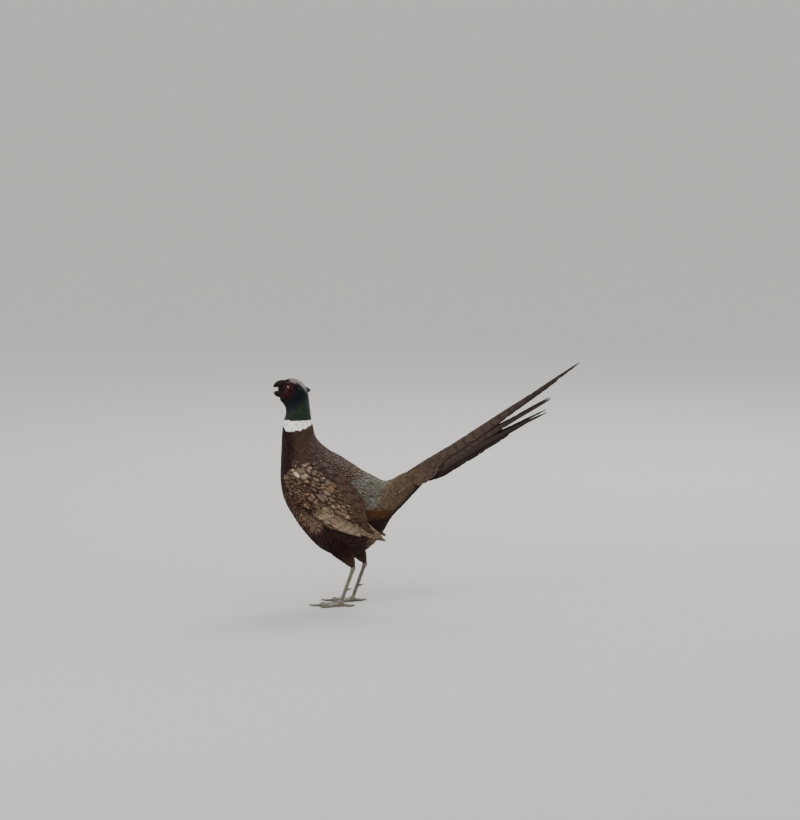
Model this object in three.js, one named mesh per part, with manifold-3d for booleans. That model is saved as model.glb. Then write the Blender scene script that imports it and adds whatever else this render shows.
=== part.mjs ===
// A male ring-necked pheasant, life size, standing upright with its bill open and its tail raised.
// Millimetres, +Z up. The bird faces -X, so its left side is towards -Y.
import * as THREE from "three";
import { mergeVertices } from "three/addons/utils/BufferGeometryUtils.js";
import Module from "manifold-3d";

const wasm = await Module();
wasm.setup();
const { Manifold, Mesh: SolidMesh } = wasm;

// Driving sizes
const GAP = 0.35; // between two parts that touch
const HEAD_TURN = THREE.MathUtils.degToRad(-20); // about the neck, to the bird's right
const NECK_AXIS_X = -100;
const FACE_STEP = 0.38; // more room in front of the face for the lower bill
const MERGE = 1e-3; // vertices nearer than this are one
const BODY_SIDES = 24; // points round a body section
const BODY_SQUARENESS = 2.25; // superellipse exponent of a body section
const EYE_RADIUS = 5.2;
const EYE_CENTRE = [-116, 13, 460.5];
const LID_HEIGHT = 0.86;
const TAIL_ROOT = [115, 255]; // x and z of the tail's own origin
const TAIL_RISE = THREE.MathUtils.degToRad(33);
const ROOF_SLOPE = THREE.MathUtils.degToRad(60); // of each half of the tail, from level
const TAIL_RIDGE = 12.5; // the ridge's height over the tail's axis
const VANE_LAYER = 1.2; // from one tail feather to the next one under it
const WING_SHOULDER = [-112, 288]; // x and z where the folded wing starts
const WING_FALL = THREE.MathUtils.degToRad(-36.9); // the wing's long axis, below level
const WING_LENGTH = 244;
const WING_ROUND = 100; // radius of the wing across its long axis
const WING_SEED = { 1: 18, "-1": 8 }; // of the small differences among a wing's feathers
const FOOT_SPREAD = 33; // of each foot from the middle
const LEFT_FOOT_X = -10;
const RIGHT_FOOT_X = 14;
const TOE_RADIUS = 4.1;

// The body's outline, from the bill's root to the tail's root. Each station is a flat section:
// its name, x and z on the back line, x and z on the front or belly line, and half its width.
const STATIONS = [
  ["bill root", -130, 473.3, -135, 450.5, 8],
  ["forehead", -124, 476.2, -137.5, 445, 12],
  ["brow", -115, 477.8, -139.3, 437.5, 15.5],
  ["crown", -104, 477, -138, 430.5, 17.5],
  ["rear crown", -93, 471, -132.5, 424.5, 19],
  ["nape", -84, 462, -127.5, 418, 20],
  ["throat", -78.5, 447, -125.3, 410.5, 21.5],
  ["mid neck", -75, 421, -126, 401.5, 23.5],
  ["ring top", -71, 391.5, -129.5, 391.5, 26],
  ["ring foot", -68.5, 381, -133.5, 365, 30],
  ["neck foot", -62, 355, -135, 336, 38],
  ["shoulders", -38, 330, -136.5, 300, 52],
  ["mantle", -10, 314.5, -137, 262, 63],
  ["breast", 18, 296, -130, 225, 69],
  ["mid body", 38, 283, -112, 190, 71],
  ["flanks", 56, 274, -84, 150, 70],
  ["belly", 69, 267, -50, 117, 66],
  ["low belly", 78, 263, -8, 102, 60],
  ["thighs", 86, 262, 38, 112, 51],
  ["vent", 94, 264, 70, 140, 42],
  ["coverts", 102, 268, 97, 184, 33],
  ["tail neck", 110, 272.5, 124, 213, 27.5],
  ["tail root", 119, 277.5, 147, 238, 22],
];

const stationOf = (name) => STATIONS.findIndex((s) => s[0] === name);
const lastStation = STATIONS.length - 1;
const splineOf = (pick) =>
  new THREE.CatmullRomCurve3(STATIONS.map((s) => new THREE.Vector3(...pick(s))), false, "centripetal");
const backLine = splineOf((s) => [s[1], 0, s[2]]);
const frontLine = splineOf((s) => [s[3], 0, s[4]]);
const widthLine = splineOf((s) => [STATIONS.indexOf(s) * 10, 0, s[5]]);

// Solids from rings of points

function closedSolid(positions, triangles) {
  const made = (list) =>
    new Manifold(
      new SolidMesh({
        numProp: 3,
        vertProperties: new Float32Array(positions.flatMap((p) => [p.x, p.y, p.z])),
        triVerts: new Uint32Array(list),
      }),
    );
  const solid = made(triangles);
  if (solid.volume() > 0) return solid;
  const turned = [];
  for (let i = 0; i < triangles.length; i += 3) turned.push(triangles[i], triangles[i + 2], triangles[i + 1]);
  return made(turned);
}

const centreOf = (ring) => ring.reduce((sum, p) => sum.add(p), new THREE.Vector3()).divideScalar(ring.length);

// A skin through rings of equal counts, closed at each end by a fan round the ring's middle. The two
// halves of each ring are split along mirrored diagonals.
function loft(rings) {
  const sides = rings[0].length;
  const positions = rings.flat();
  const triangles = [];
  for (let k = 0; k + 1 < rings.length; k++) {
    for (let j = 0; j < sides; j++) {
      const a = k * sides + j;
      const b = k * sides + ((j + 1) % sides);
      if (j < sides / 2) triangles.push(a, b, b + sides, a, b + sides, a + sides);
      else triangles.push(a, b, a + sides, b, b + sides, a + sides);
    }
  }
  const ends = [
    [rings[0], 0, true],
    [rings.at(-1), (rings.length - 1) * sides, false],
  ];
  for (const [ring, first, turned] of ends) {
    positions.push(centreOf(ring));
    for (let j = 0; j < sides; j++) {
      const pair = [first + j, first + ((j + 1) % sides)];
      if (turned) pair.reverse();
      triangles.push(positions.length - 1, ...pair);
    }
  }
  return closedSolid(positions, triangles);
}

// A three.js geometry as a solid, placed by a matrix.
function solidOf(geometry, matrix = new THREE.Matrix4(), merge = 1e-4) {
  const bare = geometry.clone().applyMatrix4(matrix);
  bare.deleteAttribute("normal");
  bare.deleteAttribute("uv");
  const merged = mergeVertices(bare, merge);
  const position = merged.attributes.position;
  const points = [];
  for (let i = 0; i < position.count; i++) points.push(new THREE.Vector3().fromBufferAttribute(position, i));
  return closedSolid(points, [...merged.index.array]);
}

const united = (solids) => solids.reduce((whole, piece) => whole.add(piece));
const larger = (best, one) => (one.volume() > best.volume() ? one : best);
const largest = (solid) => solid.decompose().reduce(larger);
const clampedLerp = (a, b, s) => a + (b - a) * Math.min(1, Math.max(0, s));

// Repeatable small differences: each call gives a number between -size and size.
function variation(seed) {
  let state = seed * 7919;
  return (size) => {
    state = (state * 1103515245 + 12345) % 2147483648;
    return size * ((2 * state) / 2147483648 - 1);
  };
}

// A smooth value through pairs of place and value.
function profile(pairs) {
  const points = pairs.map(([at, value]) => new THREE.Vector3(at, value, 0));
  const curve = new THREE.CatmullRomCurve3(points, false, "centripetal");
  return (at) => {
    let k = 0;
    while (k + 2 < pairs.length && at > pairs[k + 1][0]) k++;
    const share = clampedLerp(0, 1, (at - pairs[k][0]) / (pairs[k + 1][0] - pairs[k][0]));
    return curve.getPoint((k + share) / (pairs.length - 1)).y;
  };
}

// An ellipsoid, with its half sizes, its middle and a turn about Y.
function bulb([rx, ry, rz], [x, y, z], lean = 0, sides = 10) {
  const matrix = new THREE.Matrix4()
    .makeTranslation(x, y, z)
    .multiply(new THREE.Matrix4().makeRotationY(lean))
    .multiply(new THREE.Matrix4().makeScale(rx, ry, rz));
  return solidOf(new THREE.SphereGeometry(1, sides, Math.max(5, Math.round(sides * 0.6))), matrix);
}

// A tapering limb through stations of centre, half width across and half height, never below the floor.
function limb(stations, sides) {
  const rings = stations.map(({ at, across, up, toward }) => {
    const along = new THREE.Vector3(...toward).normalize();
    const side = new THREE.Vector3(-along.y, along.x, 0);
    if (side.length() < 0.2) side.set(0, 1, 0);
    side.normalize();
    const top = new THREE.Vector3().crossVectors(along, side).normalize();
    return Array.from({ length: sides }, (_, j) => {
      const angle = (2 * Math.PI * (j + 0.5)) / sides;
      const p = new THREE.Vector3(...at)
        .addScaledVector(side, across * Math.cos(angle))
        .addScaledVector(top, up * Math.sin(angle));
      p.z = Math.max(0, p.z);
      return p;
    });
  });
  return loft(rings);
}

// Body sections

const fullTurn = stationOf("throat");
const noTurn = stationOf("ring top");
const turnAt = (station) => HEAD_TURN * (1 - THREE.MathUtils.smoothstep(station, fullTurn, noTurn));

function turnedAboutNeck(point, angle) {
  const dx = point.x - NECK_AXIS_X;
  const dy = point.y;
  point.x = NECK_AXIS_X + dx * Math.cos(angle) - dy * Math.sin(angle);
  point.y = dx * Math.sin(angle) + dy * Math.cos(angle);
  return point;
}

function bodyRing(station, grow, sides) {
  const share = station / lastStation;
  const back = backLine.getPoint(share);
  const front = frontLine.getPoint(share);
  const middle = back.clone().add(front).multiplyScalar(0.5);
  const depth = back.clone().sub(front);
  const half = depth.length() / 2 + grow;
  depth.normalize();
  const width = widthLine.getPoint(share).z + grow;
  const power = 2 / BODY_SQUARENESS;
  return Array.from({ length: sides }, (_, j) => {
    const angle = (2 * Math.PI * j) / sides;
    const c = Math.cos(angle);
    const s = Math.sin(angle);
    const p = middle
      .clone()
      .addScaledVector(depth, half * Math.sign(c) * Math.abs(c) ** power);
    p.y = width * Math.sign(s) * Math.abs(s) ** power;
    return turnedAboutNeck(p, turnAt(station));
  });
}

// The body from one station to another, grown by a margin. Its sections lie at half stations, so that
// lengths with different ends still share one surface.
function bodyLength(from, to, grow = 0, sides = BODY_SIDES) {
  const between = [];
  for (let at = Math.floor(from * 2 + 1) / 2; at < to; at += 0.5) {
    if (at - from > 0.1 && to - at > 0.1) between.push(at);
  }
  const rings = [from, ...between, to].map((at) => bodyRing(at, grow, sides));
  const first = rings[0];
  const last = rings.at(-1);
  const onward = centreOf(last).sub(centreOf(rings.at(-2))).setLength(grow);
  const backward = centreOf(first).sub(centreOf(rings[1])).setLength(grow);
  first.forEach((p) => p.add(backward));
  last.forEach((p) => p.add(onward));
  return loft(rings);
}

// Two neighbouring lengths of the body stop short of their shared station by half the gap.
function stationGap(station) {
  const step = 0.02;
  const here = bodyRing(station, 0, 4);
  const next = bodyRing(station + (station < lastStation ? step : -step), 0, 4);
  const least = Math.min(here[0].distanceTo(next[0]), here[2].distanceTo(next[2]));
  return (GAP * 0.55 * step) / least;
}

const headEnd = stationOf("throat");
const neckEnd = stationOf("ring top");
const ringEnd = stationOf("ring foot");
const torsoEnd = stationOf("thighs") + 0.5;
const shortOf = (station) => station - stationGap(station);
const past = (station) => station + stationGap(station);
const wholeBody = (grow) => bodyLength(0, lastStation, grow);

// Head: in the frame of a head that looks straight ahead, then turned with the neck

const headTurned = (solid) => {
  const mesh = solid.getMesh();
  const points = [];
  for (let i = 0; i < mesh.numVert; i++) {
    const [x, y, z] = mesh.vertProperties.subarray(i * mesh.numProp, i * mesh.numProp + 3);
    points.push(turnedAboutNeck(new THREE.Vector3(x, y, z), HEAD_TURN));
  }
  return closedSolid(points, [...mesh.triVerts]);
};

const eyePlace = (side, out) => [EYE_CENTRE[0], side * (EYE_CENTRE[1] + out), EYE_CENTRE[2]];

function eyeBall(side, grow) {
  const radius = EYE_RADIUS + grow;
  return bulb([radius, radius, radius], eyePlace(side, 0), 0, 12);
}

// The open mouth, a wedge from its corner to well in front of the bill.
function mouthWedge() {
  const corner = [-125, 454.6];
  const shape = new THREE.Shape([
    new THREE.Vector2(corner[0], corner[1]),
    new THREE.Vector2(-141, 457.2),
    new THREE.Vector2(-141, 452),
  ]);
  const wide = 44;
  const prism = new THREE.ExtrudeGeometry(shape, { depth: wide, bevelEnabled: false });
  const upright = new THREE.Matrix4()
    .makeTranslation(0, wide / 2, 0)
    .multiply(new THREE.Matrix4().makeRotationX(Math.PI / 2));
  return solidOf(prism, upright);
}

function lidRing(side) {
  const lid = new THREE.TorusGeometry(EYE_RADIUS - 0.6, 0.8, 5, 12);
  const out = 4;
  const matrix = new THREE.Matrix4()
    .makeTranslation(...eyePlace(side, out))
    .multiply(new THREE.Matrix4().makeRotationX(Math.PI / 2))
    .multiply(new THREE.Matrix4().makeScale(1, LID_HEIGHT, 1));
  return solidOf(lid, matrix);
}

// The space between the lids, which widens outwards from the eyeball.
function lidOpening(side) {
  const deep = 6;
  const cone = new THREE.CylinderGeometry(EYE_RADIUS + 1, EYE_RADIUS - 1.6, deep, 12);
  const matrix = new THREE.Matrix4()
    .makeTranslation(...eyePlace(side, EYE_RADIUS / 2 + deep / 2))
    .multiply(new THREE.Matrix4().makeRotationX(side > 0 ? 0 : Math.PI))
    .multiply(new THREE.Matrix4().makeScale(1, 1, LID_HEIGHT));
  return solidOf(cone, matrix);
}

function headSolid() {
  const skull = bodyLength(0, shortOf(headEnd));
  const eyes = eyeBall(1, GAP).add(eyeBall(-1, GAP));
  return largest(skull.subtract(headTurned(eyes)).subtract(headTurned(mouthWedge())));
}

// Bare red face skin: folds round the eye, a deep cheek lobe with bulbs, and the lid's ring.
function wattleSolid(side) {
  const y = side * 15.5;
  const folds = [
    bulb([11, 3.7, 8], [-116, y * 0.96, 460], 0.15),
    bulb([9, 3.6, 3.4], [-116, y * 0.98, 468.5], 0.2, 8),
    bulb([9, 3.4, 3.2], [-116.5, y * 1.02, 454], 0.1, 8),
    bulb([4.2, 4, 8], [-106.5, y * 1.04, 458], -0.2, 8),
    bulb([9.5, 4.6, 8], [-119, y * 1.03, 448], 0.35),
    bulb([6.5, 4.2, 6], [-125, y * 0.92, 440.5], 0.3, 8),
    bulb([5, 4, 4], [-112.5, y * 1.1, 444], 0, 8),
    bulb([4.5, 3, 4], [-126, y * 0.66, 463], 0, 8),
  ];
  const whole = united(folds)
    .subtract(lidOpening(side))
    .add(lidRing(side))
    .subtract(eyeBall(side, GAP))
    .subtract(mouthWedge());
  return largest(headTurned(whole).subtract(bodyLength(0, headEnd, GAP)));
}

// What the lower bill must clear: the head grown by the gap, and the same a little further ahead, where the
// face is steeper than its sections.
function faceClearance() {
  const grown = bodyLength(0, headEnd, GAP);
  const ahead = [-FACE_STEP * Math.cos(HEAD_TURN), -FACE_STEP * Math.sin(HEAD_TURN), 0];
  return grown.add(grown.translate(ahead));
}

// One half of the bill: rings from its root to its tip, each with a centre, half width and half depth.
function billHalf(stations, sides) {
  const rings = stations.map(([x, z, wide, deep]) =>
    Array.from({ length: sides }, (_, j) => {
      const angle = (2 * Math.PI * (j + 0.5)) / sides;
      return new THREE.Vector3(x, wide * Math.cos(angle), z + deep * Math.sin(angle));
    }),
  );
  return loft(rings);
}

function upperBill() {
  const horn = billHalf(
    [
      [-127, 464.6, 6.9, 9.4],
      [-133, 464.9, 6.6, 9.1],
      [-139, 464.9, 5.9, 8.5],
      [-145, 464.3, 4.8, 7.1],
      [-150, 462.8, 3.3, 5.2],
      [-153.4, 460.9, 1.7, 3.2],
      [-155, 459.3, 0.6, 1.5],
    ],
    12,
  );
  const nostril = (side) => bulb([2.4, 1.6, 0.9], [-137.2, side * 5.7, 468.4], 0.2, 8);
  const hollow = bulb([8, 3.4, 2], [-143, 0, 456.6], 0.1, 10);
  const carved = horn.subtract(nostril(1)).subtract(nostril(-1)).subtract(hollow);
  return largest(headTurned(carved).subtract(bodyLength(0, headEnd, GAP)));
}

function lowerBill() {
  const horn = billHalf(
    [
      [-127, 445.2, 6.4, 8.5],
      [-133, 444.7, 6.1, 8.3],
      [-139, 444.3, 5.3, 7.7],
      [-145, 444.2, 4.1, 6.7],
      [-149.5, 444.7, 2.7, 5.3],
      [-152.4, 445.4, 1.4, 3.6],
      [-153.6, 445.8, 0.5, 1.8],
    ],
    12,
  );
  const trough = bulb([8, 3.3, 2], [-143.5, 0, 451.6], -0.16, 10);
  const whole = horn.subtract(trough).add(tongueSolid());
  return largest(headTurned(whole).subtract(faceClearance()));
}

// The tongue lies in the trough of the lower bill.
function tongueSolid() {
  const tongue = billHalf(
    [
      [-134, 450.6, 2.6, 2.2],
      [-139, 450.8, 2.3, 1.7],
      [-144, 450.2, 1.7, 1.2],
      [-148, 449.4, 0.6, 0.5],
    ],
    8,
  );
  return tongue;
}

// A horn-like tuft of feathers behind each ear.
function earTuft(side) {
  const locks = [
    [0, 0],
    [-2.6, 2.2],
  ].map(([drop, out]) => {
    const tuftStation = (x, y, z, across, up, lean) => {
      return { at: [x, side * y, z], across, up, toward: [1, side * 0.25, -lean] };
    };
    return limb(
      [
        tuftStation(-98, 11, 466 + drop, 3.2, 2.6, 0.2),
        tuftStation(-90.5, 13 + out * 0.3, 464.4 + drop, 3.4, 2.4, 0.35),
        tuftStation(-84, 15.6 + out * 0.6, 460.2 + drop, 2.4, 1.7, 0.5),
        tuftStation(-78 + drop, 17 + out, 455.6 + drop * 1.6, 0.5, 0.4, 0.4),
      ],
      6,
    );
  });
  return largest(headTurned(united(locks)).subtract(bodyLength(0, headEnd, GAP)));
}

// Wing: u runs along the folded wing, v across it towards the back, and h out from its face

const wingBulge = profile([
  [-14, 40],
  [0, 52],
  [40, 70],
  [80, 76.5],
  [120, 77.5],
  [160, 73],
  [200, 61],
  [250, 40],
]);
const wingTop = profile([[-14, 8], [0, 30], [40, 49], [110, 49], [170, 32], [207, 15], [244, 2]]);
const wingFoot = profile([[-14, -8], [0, -26], [40, -42], [100, -46], [150, -40], [200, -22], [244, -2]]);

function wingPoint(side, u, v, h) {
  const x = WING_SHOULDER[0] + u * Math.cos(WING_FALL) - v * Math.sin(WING_FALL);
  const z = WING_SHOULDER[1] + u * Math.sin(WING_FALL) + v * Math.cos(WING_FALL);
  return new THREE.Vector3(x, side * (wingBulge(u) + h - (v * v) / (2 * WING_ROUND)), z);
}

// The wing's flesh and the bases of its feathers: a plate under the vanes, which covers a share of the
// wing's outline.
function wingPlate(side, length, thick, cover) {
  const stations = 10;
  const across = 5;
  const rings = Array.from({ length: stations }, (_, k) => {
    const u = THREE.MathUtils.lerp(-10, length, k / (stations - 1));
    const edge = (j) => cover * THREE.MathUtils.lerp(wingFoot(u), wingTop(u), j / across);
    const outer = Array.from({ length: across + 1 }, (_, j) => {
      const atRim = j === 0 || j === across || k === 0;
      return wingPoint(side, u, edge(j), PLATE_DEPTH - (atRim ? 1.2 : 0));
    });
    const inner = Array.from({ length: across + 1 }, (_, j) => {
      return wingPoint(side, u, edge(across - j), -thick(u));
    });
    return [...outer, ...inner];
  });
  return loft(rings);
}

// Each row of wing feathers, from the shoulder back: where its roots lie along the wing, its feathers'
// length and half width, their number, their places across the wing as shares of its outline, and their
// height over the wing's face at the root and at the tip.
const WING_ROWS = [
  { root: -6, length: 38, half: 10, count: 3, places: [0.2, 0.8], rise: [-1.6, 1.3] },
  { root: 16, length: 38, half: 10.5, count: 4, places: [0.12, 0.88], rise: [-1.6, 1.3] },
  { root: 38, length: 40, half: 11, count: 5, places: [0.08, 0.9], rise: [-1.6, 1.3] },
  { root: 62, length: 48, half: 11, count: 5, places: [0.08, 0.9], rise: [-1.6, 1.3] },
  { root: 94, length: 92, half: 10, count: 6, places: [0.1, 0.84], rise: [-1.6, 0.9] },
];
const TERTIALS = {
  root: 60,
  length: 108,
  half: 12,
  count: 3,
  places: [0.93, 0.74],
  rise: [0.2, 3.2],
  sink: 0.5,
};
const PRIMARIES = {
  root: 132,
  length: 112,
  half: 8.5,
  count: 4,
  places: [0.26, 0.5],
  rise: [-4.8, -4.4],
  sink: -1.15,
};
const WING_VANE = 0.75; // thickness of a wing feather
const PLATE_DEPTH = -1.2; // of the plate's outer face under the wing's face
const IMBRICATION = 0.6; // each feather's lower edge stands out by this, and its upper edge in

const wingSpan = (u) => wingTop(u) - wingFoot(u);
const wingAcross = (u, place) => THREE.MathUtils.lerp(wingFoot(u), wingTop(u), place);

// A wing feather keeps its place across the wing's outline, and narrows as the outline does.
function wingVane(side, { root, length, place, half, rise, blunt = 0.62 }, steps) {
  const full = wingSpan(root + 0.3 * length);
  const stations = Array.from({ length: steps + 1 }, (_, k) => {
    const share = k / steps;
    const u = root + length * share;
    const v = wingAcross(u, place);
    const room = Math.min(1, wingSpan(u) / full);
    const width = Math.max(0.8, half * room * webWidth(share, blunt));
    const h = THREE.MathUtils.lerp(rise[0], rise[1], share);
    const thick = WING_VANE * (share === 1 ? 0.6 : 1);
    const lower = h + (IMBRICATION * width) / half;
    const upper = h - (IMBRICATION * width) / half;
    return {
      outer: [wingPoint(side, u, v - width, lower), wingPoint(side, u, v + width, upper)],
      inner: [wingPoint(side, u, v - width, lower - thick), wingPoint(side, u, v + width, upper - thick)],
    };
  });
  return vane(stations);
}

function wingRow(side, { root, length, half, count, places, rise, sink = 0 }, vary) {
  const long = length > 60;
  return Array.from({ length: count }, (_, k) => {
    const feather = {
      root: root + (sink ? 4 * k : 0) + vary(0.8),
      length: length * (1 + vary(0.04)) - (long ? 9 * Math.abs(k - (sink > 0 ? 2 : 0)) : 0),
      place: THREE.MathUtils.lerp(places[0], places[1], k / (count - 1)) + vary(0.008),
      half: half * (1 + vary(0.04)),
      rise: rise.map((h) => h - sink * k + vary(0.07)),
      blunt: long ? 0.75 : 0.6,
    };
    return wingVane(side, feather, long ? 4 : 3);
  });
}

function wingVanes(seed) {
  const vary = variation(seed);
  return [...WING_ROWS, TERTIALS, PRIMARIES].flatMap((row) => wingRow(1, row, vary));
}

// Each wing is made on the bird's right, and the left one is then mirrored.
function wingSolid(side) {
  const plate = wingPlate(1, 172, (u) => clampedLerp(22, 4, (u - 60) / 100), 0.88);
  const wing = largest(united([plate, ...wingVanes(WING_SEED[side])]).subtract(wholeBody(GAP)));
  return solidOf(geometryOf(wing), new THREE.Matrix4().makeScale(1, side, 1));
}

// A thin vane: rings of two or more points across it on its outer face, with an inner face a thickness
// below. Both faces are split along the same diagonals.
function vane(stations) {
  const across = stations[0].outer.length;
  const positions = stations.flatMap(({ outer, inner }) => [...outer, ...inner]);
  const outerAt = (k, j) => k * 2 * across + j;
  const innerAt = (k, j) => outerAt(k, j) + across;
  const triangles = [];
  const quad = (a, b, c, d) => triangles.push(a, b, c, a, c, d);
  for (let k = 0; k + 1 < stations.length; k++) {
    for (let j = 0; j + 1 < across; j++) {
      quad(outerAt(k, j), outerAt(k, j + 1), outerAt(k + 1, j + 1), outerAt(k + 1, j));
      triangles.push(innerAt(k, j), innerAt(k + 1, j + 1), innerAt(k, j + 1));
      triangles.push(innerAt(k, j), innerAt(k + 1, j), innerAt(k + 1, j + 1));
    }
    quad(innerAt(k, 0), outerAt(k, 0), outerAt(k + 1, 0), innerAt(k + 1, 0));
    const rim = across - 1;
    quad(outerAt(k, rim), innerAt(k, rim), innerAt(k + 1, rim), outerAt(k + 1, rim));
  }
  const end = stations.length - 1;
  for (let j = 0; j + 1 < across; j++) {
    quad(innerAt(0, j), innerAt(0, j + 1), outerAt(0, j + 1), outerAt(0, j));
    quad(outerAt(end, j), outerAt(end, j + 1), innerAt(end, j + 1), innerAt(end, j));
  }
  return closedSolid(positions, triangles);
}

// Half a vane's width along its length: a narrow quill, a long even web and a tip of its own shape.
function webWidth(share, blunt, slim = 0) {
  const rise = THREE.MathUtils.smoothstep(share, 0, 0.16);
  const tip = Math.max(0, 1 - share) / (1 - blunt);
  const taper = 1 - slim * THREE.MathUtils.smoothstep(share, 0.3, 0.82);
  return (0.22 + 0.78 * rise) * taper * Math.min(1, Math.sqrt(Math.max(0.02, tip * (2 - Math.min(1, tip)))));
}

// Tail: s runs along it, q down each half of its roof from the ridge, and n in from the roof's face

function tailPoint(side, s, q, n) {
  const out = q * Math.cos(ROOF_SLOPE) - n * Math.sin(ROOF_SLOPE);
  const high = TAIL_RIDGE - q * Math.sin(ROOF_SLOPE) - n * Math.cos(ROOF_SLOPE);
  const x = TAIL_ROOT[0] + s * Math.cos(TAIL_RISE) - high * Math.sin(TAIL_RISE);
  const z = TAIL_ROOT[1] + s * Math.sin(TAIL_RISE) + high * Math.cos(TAIL_RISE);
  return new THREE.Vector3(x, side * out, z);
}

// One tail feather of a side: where its tip is along and down the roof, where its root leaves the
// flesh, half its width, and the share of it that its taper takes. Its middle runs from root to tip by
// way of a place down the roof. The long ones taper, so that the tail parts into three points.
const RECTRICES = [
  { tip: 456, tipDown: 2.2, rootDown: 7, midDown: 12.5, half: 12, slim: 0.62 },
  { tip: 398, tipDown: 8, rootDown: 9, midDown: 15, half: 11.5, slim: 0.62 },
  { tip: 366, tipDown: 35, rootDown: 11, midDown: 22, half: 11.5, slim: 0.66 },
  { tip: 343, tipDown: 56, rootDown: 13, midDown: 29.5, half: 11.5, slim: 0.68 },
  { tip: 300, tipDown: 50, rootDown: 15, midDown: 33.5, half: 11, slim: 0.5 },
  { tip: 252, tipDown: 49, rootDown: 17, midDown: 37.5, half: 10.5, slim: 0.25 },
  { tip: 205, tipDown: 46, rootDown: 19, midDown: 39.5, half: 9.5 },
  { tip: 160, tipDown: 44, rootDown: 21, midDown: 41, half: 8.5 },
  { tip: 122, tipDown: 43, rootDown: 23, midDown: 42, half: 7.5 },
];
const TAIL_START = 27; // along the tail, inside its flesh
const TAIL_SPREAD = 95; // along the tail, where its feathers lie side by side
const VANE_THICK = 0.75;

function tailVane(side, feather, layer, steps) {
  const { tip, tipDown, rootDown, midDown, half, slim } = feather;
  const { start = TAIL_START, blunt = 0.7 } = feather;
  const middleAt = (s) =>
    s < TAIL_SPREAD
      ? THREE.MathUtils.lerp(rootDown, midDown, THREE.MathUtils.smoothstep(s, start, TAIL_SPREAD))
      : THREE.MathUtils.lerp(midDown, tipDown, ((s - TAIL_SPREAD) / (tip - TAIL_SPREAD)) ** 1.4);
  const stations = Array.from({ length: steps + 1 }, (_, k) => {
    const share = k / steps;
    const s = THREE.MathUtils.lerp(start, tip, share);
    const width = Math.max(0.5, half * webWidth(share, blunt, slim));
    const top = Math.max(1, middleAt(s) - width);
    const foot = Math.max(top + 1, middleAt(s) + width);
    const deep = layer + VANE_THICK * (share === 1 ? 0.5 : 1);
    return {
      outer: [tailPoint(side, s, top, layer), tailPoint(side, s, foot, layer)],
      inner: [tailPoint(side, s, top, deep), tailPoint(side, s, foot, deep)],
    };
  });
  return vane(stations);
}

// Coverts lie over and under the roots of the tail feathers, in rows that grow shorter outwards.
function tailCoverts(side) {
  const rows = [
    { count: 4, start: 28, tip: 112, first: 5, step: 8.2, half: 7, layer: -2.6 },
    { count: 5, start: 25, tip: 78, first: 3, step: 7.6, half: 6.5, layer: -4.6 },
    { count: 3, start: 26, tip: 96, first: 31, step: 7, half: 7, layer: 13 },
  ];
  return rows.flatMap(({ count, start, tip, first, step, half, layer }) =>
    Array.from({ length: count }, (_, k) => {
      const down = first + k * step;
      const feather = {
        start,
        tip: tip - 3 * k,
        tipDown: down + 1,
        rootDown: 0.45 * down + 3,
        midDown: down,
        half,
        blunt: 0.6,
      };
      return tailVane(side, feather, layer - 0.3 * k * Math.sign(layer), 4);
    }),
  );
}

function tailSolid() {
  const vanes = [-1, 1].flatMap((side) => [
    ...RECTRICES.map((feather, k) => tailVane(side, feather, k * VANE_LAYER, k < 4 ? 7 : 5)),
    ...tailCoverts(side),
  ]);
  const whole = united([bodyCone(), ...vanes]);
  return largest(whole.subtract(rumpEndSpace()));
}

// The room in front of the tail: the body's last length with a margin.
function rumpEndSpace() {
  return bodyLength(lastStation - 3, lastStation, GAP);
}

// The fleshy root of the tail, which carries on the body's last section and tapers between the feathers.
function bodyCone() {
  const share = lastStation;
  const first = bodyRing(share, 0, BODY_SIDES);
  const middle = centreOf(first);
  const along = new THREE.Vector3(Math.cos(TAIL_RISE), 0, Math.sin(TAIL_RISE));
  const rings = [0, 0.3, 0.65, 1].map((part) =>
    first.map((p) =>
      p
        .clone()
        .sub(middle)
        .multiplyScalar(1 - 0.72 * part)
        .add(middle)
        .addScaledVector(along, GAP + part * 70),
    ),
  );
  return loft(rings);
}

// Legs

const FOOT_X = { 1: RIGHT_FOOT_X, "-1": LEFT_FOOT_X };
const footPlace = (side) => new THREE.Vector3(FOOT_X[side], side * FOOT_SPREAD, 7);
const anklePlace = (side) => [FOOT_X[side] + 26, side * (FOOT_SPREAD + 1), 80];

// The room that the wing takes, with a margin, down to the body.
function wingSpace(side) {
  const rings = Array.from({ length: 12 }, (_, k) => {
    const u = THREE.MathUtils.lerp(-12, 248, k / 11);
    const low = wingFoot(u) - 14;
    const high = wingTop(u) + 3;
    const rim = [0, 0.25, 0.5, 0.75, 1].map((share) => THREE.MathUtils.lerp(low, high, share));
    const outer = rim.map((v) => wingPoint(side, u, v, 8));
    const inner = rim.reverse().map((v) => wingPoint(side, u, v, -26));
    return [...outer, ...inner];
  });
  return loft(rings);
}

function thighSolid(side) {
  const [ax, ay, az] = anklePlace(side);
  const drum = limb(
    [
      { at: [ax - 38, side * 37, 142], across: 21, up: 25, toward: [0.5, 0, -1] },
      { at: [ax - 25, side * 37, 120], across: 18.5, up: 22, toward: [0.6, 0, -1] },
      { at: [ax - 11, side * 36, 102], across: 12.5, up: 15, toward: [0.55, 0, -1] },
      { at: [ax - 3.5, side * 34.8, 90], across: 7.5, up: 9, toward: [0.4, 0, -1] },
      { at: [ax - 0.3, ay, az + 4.5], across: 4.6, up: 5.4, toward: [0.2, 0, -1] },
    ],
    14,
  );
  return largest(drum.subtract(wholeBody(GAP)).subtract(wingSpace(side)).subtract(shankSolid(side, GAP)));
}

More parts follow.
